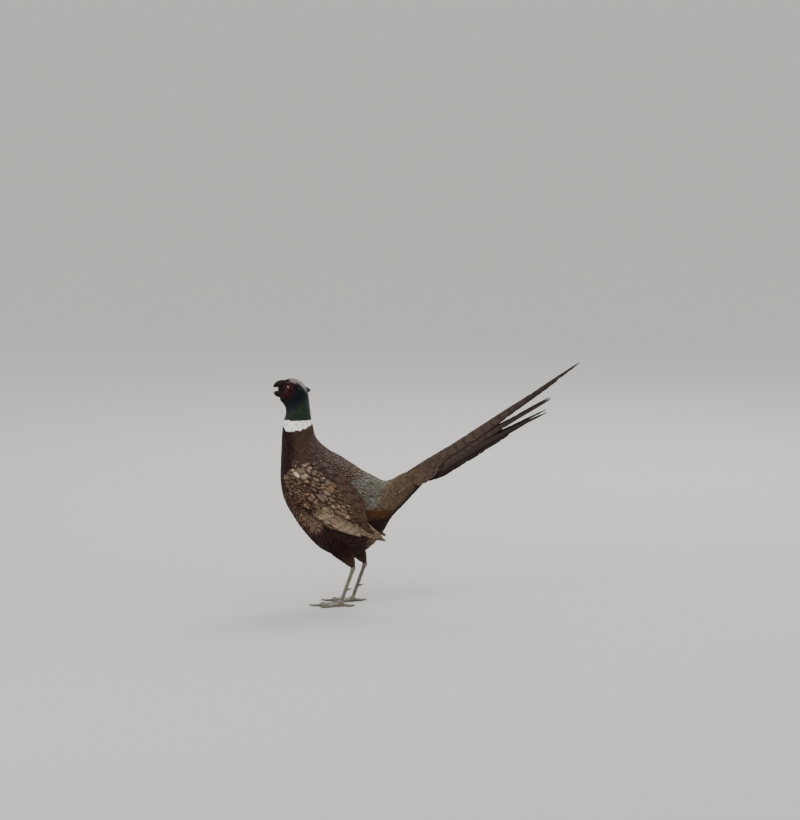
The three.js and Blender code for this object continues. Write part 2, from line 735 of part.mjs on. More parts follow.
// The bare shank, from under the ankle's feathers down into the foot's pad, scuted in front.
function shankSolid(side, grow = 0) {
  const ankle = new THREE.Vector3(...anklePlace(side));
  const foot = footPlace(side);
  const along = foot.clone().sub(ankle).normalize();
  const scutes = 9;
  const station = (at, across, up) => {
    return { at: at.toArray(), across: across + grow, up: up + grow, toward: along.toArray() };
  };
  const places = [
    station(ankle.clone().addScaledVector(along, -4 - grow), 4, 4.6),
    station(ankle, 5, 5.6),
  ];
  for (let k = 0; k <= scutes; k++) {
    const swell = k % 2 === 0 ? 0.25 : -0.15;
    places.push(station(ankle.clone().lerp(foot, 0.1 + (0.82 * k) / scutes), 3.1 + swell, 4 + swell));
  }
  if (grow > 0) places.push(station(ankle.clone().lerp(foot, 0.92).addScaledVector(along, grow), 3, 3.9));
  return limb(places, 10);
}

// All the room above the floor.
function floorSpace() {
  const side = 2000;
  const above = new THREE.Matrix4().makeTranslation(0, 0, side / 2);
  return solidOf(new THREE.BoxGeometry(side, side, side), above);
}

function spurSolid(side) {
  const at = new THREE.Vector3(...anklePlace(side)).lerp(footPlace(side), 0.62);
  const spur = limb(
    [
      { at: [at.x + 1, at.y - side * 1.5, at.z], across: 2.4, up: 2.6, toward: [1, -side * 0.2, 0.1] },
      { at: [at.x + 8, at.y - side * 2.6, at.z + 0.8], across: 1.7, up: 1.9, toward: [1, -side * 0.2, 0.3] },
      { at: [at.x + 14, at.y - side * 3.4, at.z + 3.4], across: 0.4, up: 0.5, toward: [1, -side * 0.2, 0.6] },
    ],
    8,
  );
  return largest(spur.subtract(shankSolid(side, GAP)));
}

// Each toe: its name, length, turn outwards from straight ahead, and joints.
const TOES = [
  ["inner", 37, -34, 2],
  ["middle", 52, 2, 3],
  ["outer", 38, 36, 3],
  ["hind", 17, 160, 1],
];
const CLAW_LENGTH = 10;

function toeLine(side, [, length, turn]) {
  const angle = THREE.MathUtils.degToRad(turn);
  const ahead = new THREE.Vector3(-Math.cos(angle), side * Math.sin(angle), 0);
  const foot = new THREE.Vector3(FOOT_X[side], side * FOOT_SPREAD, 0);
  return { ahead, start: foot.addScaledVector(ahead, 3), length: length + 3 };
}

function toeSolid(side, toe) {
  const { ahead, start, length } = toeLine(side, toe);
  const joints = toe[3];
  const steps = 2 * joints + 2;
  const places = Array.from({ length: steps + 1 }, (_, k) => {
    const share = k / steps;
    const swell = k > 0 && k < steps && k % 2 === 0 ? 0.45 : 0;
    const radius = TOE_RADIUS * (1 - 0.36 * share) + swell;
    const at = start.clone().addScaledVector(ahead, length * share);
    at.z = radius * 0.8;
    return { at: at.toArray(), across: radius, up: radius, toward: ahead.toArray() };
  });
  return limb(places, 8);
}

// The toes spread from one pad, in which the shank stands.
function footSolid(side) {
  const pad = bulb([8, 7.2, 7], [FOOT_X[side], side * FOOT_SPREAD, 5.6], 0, 12).intersect(floorSpace());
  const toes = TOES.map((toe) => toeSolid(side, toe));
  return largest(united([pad, ...toes]).subtract(shankSolid(side, GAP)));
}

function clawSolid(side, toe) {
  const { ahead, start, length } = toeLine(side, toe);
  const radius = TOE_RADIUS * 0.64;
  const places = [
    [0, 2.6, 0.78],
    [0.35, 3.3, 0.66],
    [0.7, 2.9, 0.42],
    [1, 1.5, 0.14],
  ].map(([share, high, thick]) => {
    const at = start.clone().addScaledVector(ahead, length + GAP + CLAW_LENGTH * share);
    at.z = high;
    return { at: at.toArray(), across: radius * thick, up: radius * thick * 1.15, toward: ahead.toArray() };
  });
  return limb(places, 6);
}

// Colours and finishes

const finish = (color, roughness = 0.6, metalness = 0) =>
  new THREE.MeshStandardMaterial({ color, roughness, metalness });
const HEAD_GREEN = finish(0x14231f, 0.35, 0.3);
const CHEEK_RED = finish(0x9c1216, 0.55);
const BILL_HORN = finish(0x2f241c, 0.4);
const EYE_AMBER = finish(0x2a1608, 0.08);
const RING_WHITE = finish(0xf4f2ea, 0.8);
const BREAST_COPPER = finish(0x4a2316, 0.45, 0.15);
const RUMP_OLIVE = finish(0x5a5038, 0.7);
const WING_BUFF = finish(0x8a7358, 0.75);
const TAIL_BROWN = finish(0x5f4d3a, 0.7);
const THIGH_BROWN = finish(0x3a2a1e, 0.8);
const LEG_GREY = finish(0x8b8474, 0.55);
const CLAW_DARK = finish(0x2b2722, 0.4);

const parts = [];

function geometryOf(solid) {
  const made = solid.getMesh();
  const positions = new Float32Array(made.numVert * 3);
  for (let i = 0; i < made.numVert; i++) {
    positions.set(made.vertProperties.subarray(i * made.numProp, i * made.numProp + 3), i * 3);
  }
  const geometry = new THREE.BufferGeometry();
  geometry.setAttribute("position", new THREE.BufferAttribute(positions, 3));
  geometry.setIndex(new THREE.BufferAttribute(new Uint32Array(made.triVerts), 1));
  return geometry;
}

// Pockets that close up between crossing vanes are filled once near vertices are one.
function add(name, solid, material) {
  const geometry = geometryOf(largest(solidOf(geometryOf(solid), new THREE.Matrix4(), MERGE)));
  geometry.computeVertexNormals();
  const mesh = new THREE.Mesh(geometry, material);
  mesh.name = name;
  parts.push(mesh);
}

add("head", headSolid(), HEAD_GREEN);
add("bill_upper", upperBill(), BILL_HORN);
add("bill_lower", lowerBill(), BILL_HORN);
add("neck", bodyLength(past(headEnd), shortOf(neckEnd)), HEAD_GREEN);
add("neck_ring", bodyLength(past(neckEnd), shortOf(ringEnd)), RING_WHITE);
add("torso", bodyLength(past(ringEnd), shortOf(torsoEnd)), BREAST_COPPER);
add("rump", bodyLength(past(torsoEnd), lastStation), RUMP_OLIVE);
add("tail", tailSolid(), TAIL_BROWN);
for (const [label, side] of [["left", -1], ["right", 1]]) {
  add(`eye_${label}`, headTurned(eyeBall(side, 0)), EYE_AMBER);
  add(`wattle_${label}`, wattleSolid(side), CHEEK_RED);
  add(`ear_tuft_${label}`, earTuft(side), HEAD_GREEN);
  add(`wing_${label}`, wingSolid(side), WING_BUFF);
  add(`thigh_${label}`, thighSolid(side), THIGH_BROWN);
  add(`shank_${label}`, shankSolid(side), LEG_GREY);
  add(`foot_${label}`, footSolid(side), LEG_GREY);
  add(`spur_${label}`, spurSolid(side), CLAW_DARK);
  for (const toe of TOES) add(`claw_${toe[0]}_${label}`, clawSolid(side, toe), CLAW_DARK);
}

// The origin is under the middle of the whole bird, on the floor.
const pheasant = new THREE.Group();
pheasant.add(...parts);
const room = new THREE.Box3().setFromObject(pheasant);
const middle = room.getCenter(new THREE.Vector3());
pheasant.position.set(-middle.x, -middle.y, -room.min.z);

export default pheasant;
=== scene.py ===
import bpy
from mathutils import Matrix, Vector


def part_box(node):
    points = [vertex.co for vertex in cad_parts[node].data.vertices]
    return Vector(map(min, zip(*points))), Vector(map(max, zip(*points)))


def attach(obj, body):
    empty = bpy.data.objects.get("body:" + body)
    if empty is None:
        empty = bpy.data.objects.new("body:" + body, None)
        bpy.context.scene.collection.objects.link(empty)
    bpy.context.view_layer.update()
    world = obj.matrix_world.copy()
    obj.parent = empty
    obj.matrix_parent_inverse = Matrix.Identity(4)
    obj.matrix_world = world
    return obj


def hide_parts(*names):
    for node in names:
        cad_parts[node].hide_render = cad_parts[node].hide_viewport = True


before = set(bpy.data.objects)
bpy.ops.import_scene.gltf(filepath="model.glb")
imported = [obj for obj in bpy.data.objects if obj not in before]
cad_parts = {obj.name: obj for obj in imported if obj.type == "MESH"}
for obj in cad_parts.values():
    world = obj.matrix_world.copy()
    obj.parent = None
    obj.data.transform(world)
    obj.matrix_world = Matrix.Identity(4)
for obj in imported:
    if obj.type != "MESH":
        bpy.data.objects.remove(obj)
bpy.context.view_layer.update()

import math

import bpy
import numpy as np
from mathutils import Matrix, Vector
from mathutils.bvhtree import BVHTree
from mathutils.kdtree import KDTree

bl_info = {
    "name": "Cock pheasant",
    "version": (1, 0, 0),
    "blender": (4, 5, 0),
    "location": "View3D > Sidebar > Pheasant",
    "description": "A life-size male ring-necked pheasant with its skin, coat, flight and tail feathers",
    "category": "Object",
}

MM = 0.001
LEFT, RIGHT = -1, 1
SIDES = ((LEFT, "left"), (RIGHT, "right"))
PHOTO_WIDTH, PHOTO_HEIGHT = 800, 820
PHOTO_MM_PER_PIXEL = 2.1
PHOTO_BODY_COLUMN = 345.5  # the photo's column and row of the body's own zero point
PHOTO_GROUND_ROW = 606

# The body's outline in millimetres, from the bill's root to the tail's root: x and z on the back line,
# x and z on the front or belly line, and half the width.
STATIONS = (
    ("bill root", -130, 473.3, -135, 450.5, 8),
    ("forehead", -124, 476.2, -137.5, 445, 12),
    ("brow", -115, 477.8, -139.3, 437.5, 15.5),
    ("crown", -104, 477, -138, 430.5, 17.5),
    ("rear crown", -93, 471, -132.5, 424.5, 19),
    ("nape", -84, 462, -127.5, 418, 20),
    ("throat", -78.5, 447, -125.3, 410.5, 21.5),
    ("mid neck", -75, 421, -126, 401.5, 23.5),
    ("ring top", -71, 391.5, -129.5, 391.5, 26),
    ("ring foot", -68.5, 381, -133.5, 365, 30),
    ("neck foot", -62, 355, -135, 336, 38),
    ("shoulders", -38, 330, -136.5, 300, 52),
    ("mantle", -10, 314.5, -137, 262, 63),
    ("breast", 18, 296, -130, 225, 69),
    ("mid body", 38, 283, -112, 190, 71),
    ("flanks", 56, 274, -84, 150, 70),
    ("belly", 69, 267, -50, 117, 66),
    ("low belly", 78, 263, -8, 102, 60),
    ("thighs", 86, 262, 38, 112, 51),
    ("vent", 94, 264, 70, 140, 42),
    ("coverts", 102, 268, 97, 184, 33),
    ("tail neck", 110, 272.5, 124, 213, 27.5),
    ("tail root", 119, 277.5, 147, 238, 22),
)
LAST_STATION = len(STATIONS) - 1
THROAT, RING_TOP, RING_FOOT = 6, 8, 9
SQUARENESS = 2.25
HEAD_TURN = math.radians(-20)
NECK_AXIS_X = -100
TAIL_ROOT = (115, 255)
TAIL_RISE = math.radians(33)
ROOF_SLOPE = math.radians(60)
TAIL_RIDGE = 12.5
CONE_LENGTH = 70
CONE_TAPER = 0.72
CONE_STATIONS = 3
WING_SKIN_END = 205.0
WATTLE_REACH = 0.0016
WING_SHOULDER = (-112, 288)
WING_FALL = math.radians(-36.9)
WING_ROUND = 100
EYE_RADIUS = 5.2
EYE_CENTRE = (-116, 13, 460.5)
GAPE_CENTRE = (-133, 0, 454.5)
GAPE_SIZE = (12.5, 4.8, 4.1)
TUFT_ROOT = (-97, 13.0, 460.5)
TUFT_TIP = (-80.5, 16.8, 450.5)
TUFT_PLUMES = 34
LAST_FLAT_STATION = 8.5  # up to here the coat is the head's, with flatter feathers
LAST_FACE_STATION = 6.5  # up to here bare skin and eyes are left clear of feathers
FIRST_LOOSE_STATION = 18  # from here on the feathers have loose tips
TAIL_SKIN_END = 70.0
CAMERA_DISTANCE = 12.0
CAMERA_LIFT = math.radians(7)
SENSOR_WIDTH = 36

# The body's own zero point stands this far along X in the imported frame.
OFFSET_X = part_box("rump")[1].x / MM - STATIONS[-1][3]


# Curves and surfaces of the body, as arrays, in millimetres from the body's own zero point


def smoothstep(value, low, high):
    share = np.clip((value - low) / (high - low), 0, 1)
    return share * share * (3 - 2 * share)


def mix(a, b, share):
    return a + (b - a) * share


def spline_table(points, samples):
    """Even samples of a centripetal spline through the points."""
    points = np.asarray(points, float)
    points = np.vstack([2 * points[0] - points[1], points, 2 * points[-1] - points[-2]])
    count = len(points) - 3
    rows = []
    for share in np.linspace(0, count, samples):
        k = min(int(share), count - 1)
        p0, p1, p2, p3 = points[k : k + 4]
        d0, d1, d2 = (max(np.linalg.norm(q - p) ** 0.5, 1e-6) for p, q in ((p0, p1), (p1, p2), (p2, p3)))
        m1 = ((p1 - p0) / d0 - (p2 - p0) / (d0 + d1) + (p2 - p1) / d1) * d1
        m2 = ((p2 - p1) / d1 - (p3 - p1) / (d1 + d2) + (p3 - p2) / d2) * d1
        w = share - k
        rows.append(
            p1 + m1 * w + (-3 * p1 + 3 * p2 - 2 * m1 - m2) * w**2 + (2 * p1 - 2 * p2 + m1 + m2) * w**3
        )
    return np.array(rows)


def body_tables():
    """Middle, half depth as a vector, and half width of the body's sections, with the tail's fleshy root."""
    samples = 20 * LAST_STATION + 1
    back = spline_table([(s[1], s[2]) for s in STATIONS], samples)
    front = spline_table([(s[3], s[4]) for s in STATIONS], samples)
    width = spline_table([(i * 10, s[5]) for i, s in enumerate(STATIONS)], samples)[:, 1]
    middle = (back + front) / 2
    reach = (back - front) / 2
    along = np.array([math.cos(TAIL_RISE), math.sin(TAIL_RISE)])
    for part in np.linspace(0, 1, 20 * CONE_STATIONS + 1)[1:]:
        middle = np.vstack([middle, middle[samples - 1] + along * CONE_LENGTH * part])
        reach = np.vstack([reach, reach[samples - 1] * (1 - CONE_TAPER * part)])
        width = np.append(width, width[samples - 1] * (1 - CONE_TAPER * part))
    return np.linspace(0, LAST_STATION + CONE_STATIONS, len(width)), middle, reach, width


STATION_AXIS, SECTION_MIDDLE, SECTION_REACH, SECTION_WIDTH = body_tables()


def body_point(station, angle):
    """A place on the body: station along it, and angle round it from the back line to the bird's right."""
    look = [np.interp(station, STATION_AXIS, column) for column in (*SECTION_MIDDLE.T, *SECTION_REACH.T)]
    width = np.interp(station, STATION_AXIS, SECTION_WIDTH)
    power = 2 / SQUARENESS
    c, s = np.cos(angle), np.sin(angle)
    up = np.sign(c) * np.abs(c) ** power
    across = np.sign(s) * np.abs(s) ** power
    x = look[0] + look[2] * up
    z = look[1] + look[3] * up
    y = width * across
    turn = HEAD_TURN * (1 - smoothstep(station, THROAT, RING_TOP))
    dx = x - NECK_AXIS_X
    return np.stack(
        [
            NECK_AXIS_X + dx * np.cos(turn) - y * np.sin(turn),
            dx * np.sin(turn) + y * np.cos(turn),
            z,
        ],
        -1,
    )


def profile(pairs):
    """A smooth curve of values through pairs of place and value."""
    smooth = spline_table(pairs, 40 * (len(pairs) - 1) + 1)
    return lambda at: np.interp(at, smooth[:, 0], smooth[:, 1])


wing_bulge = profile(((-14, 40), (0, 52), (40, 70), (80, 76.5), (120, 77.5), (160, 73), (200, 61), (250, 40)))
wing_top = profile(((-14, 8), (0, 30), (40, 49), (110, 49), (170, 32), (207, 15), (244, 2)))
wing_foot = profile(((-14, -8), (0, -26), (40, -42), (100, -46), (150, -40), (200, -22), (244, -2)))


def wing_point(side, u, v):
    """A place on the folded wing's face: u along it from the shoulder, v across it towards the back."""
    x = WING_SHOULDER[0] + u * math.cos(WING_FALL) - v * math.sin(WING_FALL)
    z = WING_SHOULDER[1] + u * math.sin(WING_FALL) + v * math.cos(WING_FALL)
    return np.stack([x, side * (wing_bulge(u) - v * v / (2 * WING_ROUND)), z], -1)


def wing_place(points):
    """How far along and across the wing places lie in the side view."""
    dx, dz = points[..., 0] - WING_SHOULDER[0], points[..., 2] - WING_SHOULDER[1]
    c, s = math.cos(WING_FALL), math.sin(WING_FALL)
    return dx * c + dz * s, dz * c - dx * s


def tail_point(side, s, q, n):
    """A place in the tail: s along it, q down its roof from the ridge, n in from the roof's face."""
    out = q * math.cos(ROOF_SLOPE) - n * math.sin(ROOF_SLOPE)
    high = TAIL_RIDGE - q * math.sin(ROOF_SLOPE) - n * math.cos(ROOF_SLOPE)
    x = TAIL_ROOT[0] + s * math.cos(TAIL_RISE) - high * math.sin(TAIL_RISE)
    z = TAIL_ROOT[1] + s * math.sin(TAIL_RISE) + high * math.cos(TAIL_RISE)
    return np.stack([x, side * out, z], -1)


def turned_head(points):
    """Places on the untwisted head, carried round with its turn."""
    points = np.asarray(points, float)
    dx = points[..., 0] - NECK_AXIS_X
    c, s = math.cos(HEAD_TURN), math.sin(HEAD_TURN)
    return np.stack(
        [NECK_AXIS_X + dx * c - points[..., 1] * s, dx * s + points[..., 1] * c, points[..., 2]], -1
    )


def to_frame(points):
    return (np.asarray(points, float) + (OFFSET_X, 0, 0)) * MM


def unit(vectors):
    return vectors / np.maximum(np.linalg.norm(vectors, axis=-1, keepdims=True), 1e-9)


# Markings: the colours and patterns of the coat, by place on the body

# Most of these colours are kept as dark as the bird's side in shade, darker than the feathers' own: the
# coat's own colours with painted shade over them.
PLUME = {
    "green": (0.0072, 0.012, 0.0088),
    "moss": (0.021, 0.027, 0.018),
    "blue": (0.0053, 0.0061, 0.0091),
    "face": (0.0061, 0.0046, 0.0046),
    "lilac": (0.204, 0.168, 0.156),
    "white": (0.92, 0.91, 0.87),
    "cream": (0.312, 0.2418, 0.1638),
    "buff": (0.185, 0.1273, 0.077),
    "tan": (0.160, 0.114, 0.083),
    "pink": (0.135, 0.083, 0.058),
    "sand": (0.125, 0.078, 0.047),
    "bark": (0.0547, 0.0342, 0.0228),
    "brown": (0.0486, 0.0274, 0.0175),
    "umber": (0.0403, 0.0205, 0.016),
    "dusk": (0.044, 0.030, 0.023),
    "mauve": (0.0456, 0.0274, 0.022),
    "plum": (0.0182, 0.0076, 0.0061),
    "maroon": (0.0198, 0.0053, 0.003),
    "rufous": (0.0456, 0.0152, 0.0076),
    "crimson": (0.034, 0.0030, 0.0044),
    "orange": (0.044, 0.0165, 0.005),
    "slate": (0.088, 0.082, 0.066),
    "olive": (0.074, 0.050, 0.030),
    "wine": (0.0106, 0.003, 0.0023),
    "black": (0.0053, 0.003, 0.0023),
}
PLUME = {name: np.array(colour) for name, colour in PLUME.items()}

# Each patch of the coat: its middle, its half size each way, its tilt in degrees, how strongly it holds,
# then its feathers' main colour, fringe and heart, and how much of each marking they have: dark rim,
# pale heart, dark band round the heart, gloss. On the head a place is the station along it and the
# angle from the back line; on the body and the wings it is millimetres in the side view.
HEAD_PATCHES = (
    (2.2, 2.1, 2.6, 1.6, 0, 1.0, "face", "blue", "green", (0.1, 0, 0, 0.6)),
    # The pale lilac band along the crown is partly the crown's own pale feathers and eyebrow line, partly
    # painted glare of light on the crown.
    (2.9, 0.0, 0.9, 0.56, 0, 3.2, "lilac", "mauve", "cream", (0.15, 0, 0, 0.0)),
    (4.2, 0.0, 1.0, 0.36, 0, 3.4, "lilac", "mauve", "cream", (0.15, 0, 0, 0.0)),
    (0.8, 0.3, 1.0, 1.2, 0, 2.2, "wine", "black", "wine", (0.1, 0, 0, 0.2)),
    (5.1, 1.7, 1.8, 1.7, 0, 1.0, "blue", "face", "green", (0.1, 0, 0, 1.0)),
    (7.7, 1.6, 1.2, 3.4, 0, 1.3, "moss", "green", "green", (0.1, 0, 0, 1.0)),
)
BODY_PATCHES = (
    (-122, 345, 26, 34, 0, 1.0, "plum", "black", "umber", (0.5, 0, 0, 0.5)),
    (-94, 350, 20, 34, 0, 1.4, "brown", "umber", "mauve", (0.4, 0, 0, 0.3)),
    (-64, 338, 22, 30, 0, 1.3, "mauve", "plum", "tan", (0.4, 0.15, 0, 0.2)),
    (-22, 308, 46, 24, -24, 1.5, "mauve", "plum", "tan", (0.5, 0.3, 0.3, 0.2)),
    (18, 288, 22, 18, -30, 1.3, "bark", "plum", "tan", (0.45, 0.3, 0.2, 0.15)),
    (-130, 275, 24, 46, 0, 1.2, "maroon", "black", "rufous", (0.7, 0, 0, 0.5)),
    (-98, 285, 24, 30, 0, 1.0, "umber", "plum", "tan", (0.6, 0.5, 0.3, 0.2)),
    (-102, 214, 28, 38, 35, 1.6, "rufous", "wine", "pink", (0.6, 0.8, 0.3, 0.1)),
    (-79, 190, 25, 17, -42, 1.9, "pink", "brown", "tan", (0.3, 0.9, 0.2, 0.0)),
    (-96, 178, 26, 10, -48, 1.5, "rufous", "wine", "pink", (0.6, 0.6, 0.3, 0.1)),
    (-10, 118, 62, 26, -6, 1.9, "plum", "wine", "umber", (0.3, 0.6, 0, 0.0)),
    (8, 150, 48, 18, -24, 1.5, "plum", "wine", "umber", (0.3, 0.6, 0, 0.0)),
    (42, 240, 27, 36, 0, 2.3, "slate", "olive", "tan", (0.1, 0.05, 0, 0.0)),
    (68, 263, 24, 11, 0, 1.9, "slate", "olive", "olive", (0.1, 0.1, 0, 0.0)),
    (104, 238, 24, 38, -33, 2.0, "olive", "bark", "slate", (0.15, 0.1, 0, 0.0)),
    (124, 209, 44, 7, 47, 3.4, "wine", "black", "wine", (0.2, 0, 0, 0.0)),
    (62, 197, 32, 9.5, -3, 3.2, "orange", "rufous", "orange", (0.25, 0.1, 0, 0.1)),
    (72, 172, 28, 14, 8, 2.6, "wine", "maroon", "wine", (0.2, 0, 0, 0.1)),
    (104, 182, 32, 12, 45, 2.3, "wine", "black", "wine", (0.2, 0, 0, 0.1)),
    (66, 140, 20, 14, 30, 1.7, "sand", "brown", "tan", (0.3, 0.2, 0, 0.0)),
)
WING_PATCHES = (
    (18, 6, 15, 8, 0, 1.7, "tan", "brown", "cream", (0.31, 0.9, 0.2, 0.0)),
    (6, -20, 24, 18, 0, 1.2, "bark", "maroon", "pink", (0.43, 0.7, 0.5, 0.1)),
    (44, 50, 46, 12, -12, 2.2, "mauve", "plum", "umber", (0.31, 0.3, 0.3, 0.1)),
    (120, 52, 46, 10, -12, 1.8, "bark", "plum", "tan", (0.37, 0.4, 0.5, 0.1)),
    (44, 26, 34, 14, 0, 1.3, "bark", "maroon", "tan", (0.37, 0.8, 0.5, 0.1)),
    (88, -2, 18, 12, 0, 1.3, "bark", "maroon", "tan", (0.37, 0.6, 0.5, 0.1)),
    (56, -10, 26, 22, 20, 1.3, "brown", "maroon", "pink", (0.37, 0.8, 0.5, 0.1)),
    (60, -44, 34, 12, 10, 1.5, "rufous", "maroon", "pink", (0.37, 0.8, 0.4, 0.1)),
    (96, -24, 20, 14, 0, 1.5, "sand", "brown", "tan", (0.31, 0.7, 0.3, 0.0)),
    (124, -6, 20, 12, 0, 1.4, "sand", "brown", "tan", (0.31, 0.7, 0.3, 0.0)),
    (112, 26, 34, 16, 0, 1.4, "bark", "umber", "sand", (0.37, 0.7, 0.5, 0.0)),
    (160, 16, 34, 14, -14, 1.5, "bark", "brown", "sand", (0.37, 0.5, 0.4, 0.0)),
    (150, -30, 50, 8, 12, 1.8, "sand", "brown", "buff", (0.25, 0.4, 0.2, 0.0)),
    (225, -2, 24, 14, 0, 1.6, "sand", "brown", "tan", (0.19, 0.2, 0, 0.0)),
)
# Degrees from the back line, and how many stations past the ring's foot it ends there.
RING_FOOT_SHIFT = (
    (0, 30, 55, 75, 90, 120, 140, 155, 180),
    (-0.25, -0.15, 0.03, 0.08, 0.04, -0.02, -0.18, -0.4, -0.55),
)


def patched(patches, across, along):
    """Colours and amounts of markings at places, mixed from the patches that hold them."""
    total = np.zeros(across.shape)
    looks = [np.zeros(across.shape + (size,)) for size in (3, 3, 3, 4)]
    for at, high, wide, tall, tilt, hold, *colours_and_marks in patches:
        c, s = math.cos(math.radians(tilt)), math.sin(math.radians(tilt))
        dx, dy = across - at, along - high
        far = ((dx * c + dy * s) / wide) ** 2 + ((dy * c - dx * s) / tall) ** 2
        weight = (hold * np.exp(-1.1 * far) + 1e-7 / (1 + far)) ** 3
        total += weight
        values = [PLUME[colour] for colour in colours_and_marks[:3]] + [np.array(colours_and_marks[3])]
        for look, value in zip(looks, values):
            look += weight[..., None] * value
    return [look / total[..., None] for look in looks]


def markings(station, angle, random=0.0):
    """Main colour, fringe, heart and amounts of each marking at places on the coat."""
    from_back = np.abs(np.mod(angle + np.pi, 2 * np.pi) - np.pi)
    head = patched(HEAD_PATCHES, station + 0.2 * random, from_back)
    place = body_point(station, angle)
    body = patched(BODY_PATCHES, place[..., 0] + 4 * random, place[..., 2] + 3 * random)
    foot = RING_FOOT + np.interp(np.degrees(from_back), *RING_FOOT_SHIFT)
    before = (station + 0.03 * random < RING_TOP)[..., None]
    within = ~before & (station + 0.03 * random < foot)[..., None]
    ring = (PLUME["white"], PLUME["white"] * 0.9, PLUME["white"], np.zeros(4))
    return [np.where(within, r, np.where(before, h, b)) for h, b, r in zip(head, body, ring)]


# Feathers, built as one joined mesh from arrays

SMALL_FEATHER = ((0, 0.20), (0.25, 0.75), (0.5, 1.0), (0.72, 0.95), (0.86, 0.70), (0.95, 0.38))
LOOSE_FEATHER = ((0, 0.22), (0.25, 0.78), (0.5, 1.0), (0.72, 0.80), (0.86, 0.50), (0.95, 0.22))
# The side of the patch that each feather has on the skin's unwrap.
BAKE_PATCH = 0.003


class Plumes:
    """A growing mesh of closed feathers, each with four corners a station: edge, face, edge, underside."""

    def __init__(self):
        self.points, self.faces, self.plume_uv, self.root_uv = [], [], [], []
        self.looks = [], [], [], []
        self.count = 0

    def add(self, rings, tips, along, root_uv, looks):
        """rings: feathers x stations x 4 x 3 points; tips: feathers x 3; along: station shares."""
        number, stations = rings.shape[:2]
        size = 4 * stations + 1
        points = np.concatenate([rings.reshape(number, -1, 3), tips[:, None]], 1)
        first = self.count + size * np.arange(number)[:, None, None]
        k = np.arange(stations - 1)[:, None] * 4
        j = np.arange(4)[None]
        quads = np.stack([k + 4 + j, k + 4 + (j + 1) % 4, k + (j + 1) % 4, k + j], -1).reshape(1, -1, 4)
        end = 4 * (stations - 1)
        caps = np.array([[size - 1, end + (a + 1) % 4, end + a] for a in range(4)])[None]
        root = np.array([[0, 1, 2, 3]])[None]
        self.faces += [
            (first + quads).reshape(-1, 4),
            (first + caps).reshape(-1, 3),
            (first + root).reshape(-1, 4),
        ]
        shares = np.append(np.repeat(np.asarray(along), 4), 1.0)
        sides = np.append(np.tile((0.0, 0.5, 1.0, 0.5), stations), 0.5)
        uv = np.broadcast_to(np.stack([sides, shares], -1), (number, size, 2))
        self.points.append(points.reshape(-1, 3))
        self.plume_uv.append(uv.reshape(-1, 2))
        patch = root_uv[:, None] + (uv - 0.5) * BAKE_PATCH
        self.root_uv.append(patch.reshape(-1, 2))
        for store, value in zip(self.looks, looks):
            width = value.shape[-1]
            store.append(np.broadcast_to(value[:, None], (number, size, width)).reshape(-1, width))
        self.count += number * size

    def mesh(self, name):
        points = to_frame(np.concatenate(self.points))
        data = bpy.data.meshes.new(name)
        loops = np.concatenate([f.reshape(-1) for f in self.faces])
        sizes = np.concatenate([np.full(len(f), f.shape[1]) for f in self.faces])
        data.vertices.add(len(points))
        data.vertices.foreach_set("co", points.astype(np.float32).ravel())
        data.loops.add(len(loops))
        data.loops.foreach_set("vertex_index", loops.astype(np.int32))
        data.polygons.add(len(sizes))
        data.polygons.foreach_set("loop_start", (np.cumsum(sizes) - sizes).astype(np.int32))
        data.polygons.foreach_set("use_smooth", np.ones(len(sizes), bool))
        data.update(calc_edges=True)
        for layer, values in (("OFBake", self.root_uv), ("PlumeUV", self.plume_uv)):
            values = np.concatenate(values)
            data.uv_layers.new(name=layer).data.foreach_set("uv", values[loops].astype(np.float32).ravel())
        paint(data, *(np.concatenate(values) for values in self.looks))
        data.validate()
        thing = bpy.data.objects.new(name, data)
        bpy.context.collection.objects.link(thing)
        return thing


def paint(data, main, mark, heart, amounts):
    """Point attributes that the plumage materials read."""
    ones = np.ones((len(main), 1))
    for label, values in (("main", main), ("mark", mark), ("heart", heart), ("marks", amounts[:, :3])):
        layer = data.color_attributes.new(name=label, type="FLOAT_COLOR", domain="POINT")
        layer.data.foreach_set("color", np.hstack([values, ones]).astype(np.float32).ravel())
    gloss = data.attributes.new(name="gloss", type="FLOAT", domain="POINT")
    gloss.data.foreach_set("value", np.ascontiguousarray(amounts[:, 3], np.float32))


def outline(shape):
    """Shares along a small feather and its half widths there, with its tip."""
    return np.array([share for share, _ in shape] + [1.0]), np.array([half for _, half in shape] + [0.0])


def vane(centre, body, one, other, droop):
    """Edge, face, edge and underside of feathers at each station along them."""
    return np.stack([centre - one - droop, centre + body, centre + other - droop, centre - body], 2)


def pace_of(surface, a, b):
    """Millimetres along the surface for one unit of a."""
    step = 0.01 * max(1.0, float(np.ptp(a)) / 20)
    return np.maximum(np.linalg.norm(surface(a + step, b) - surface(a - step, b), axis=-1) / (2 * step), 1e-3)


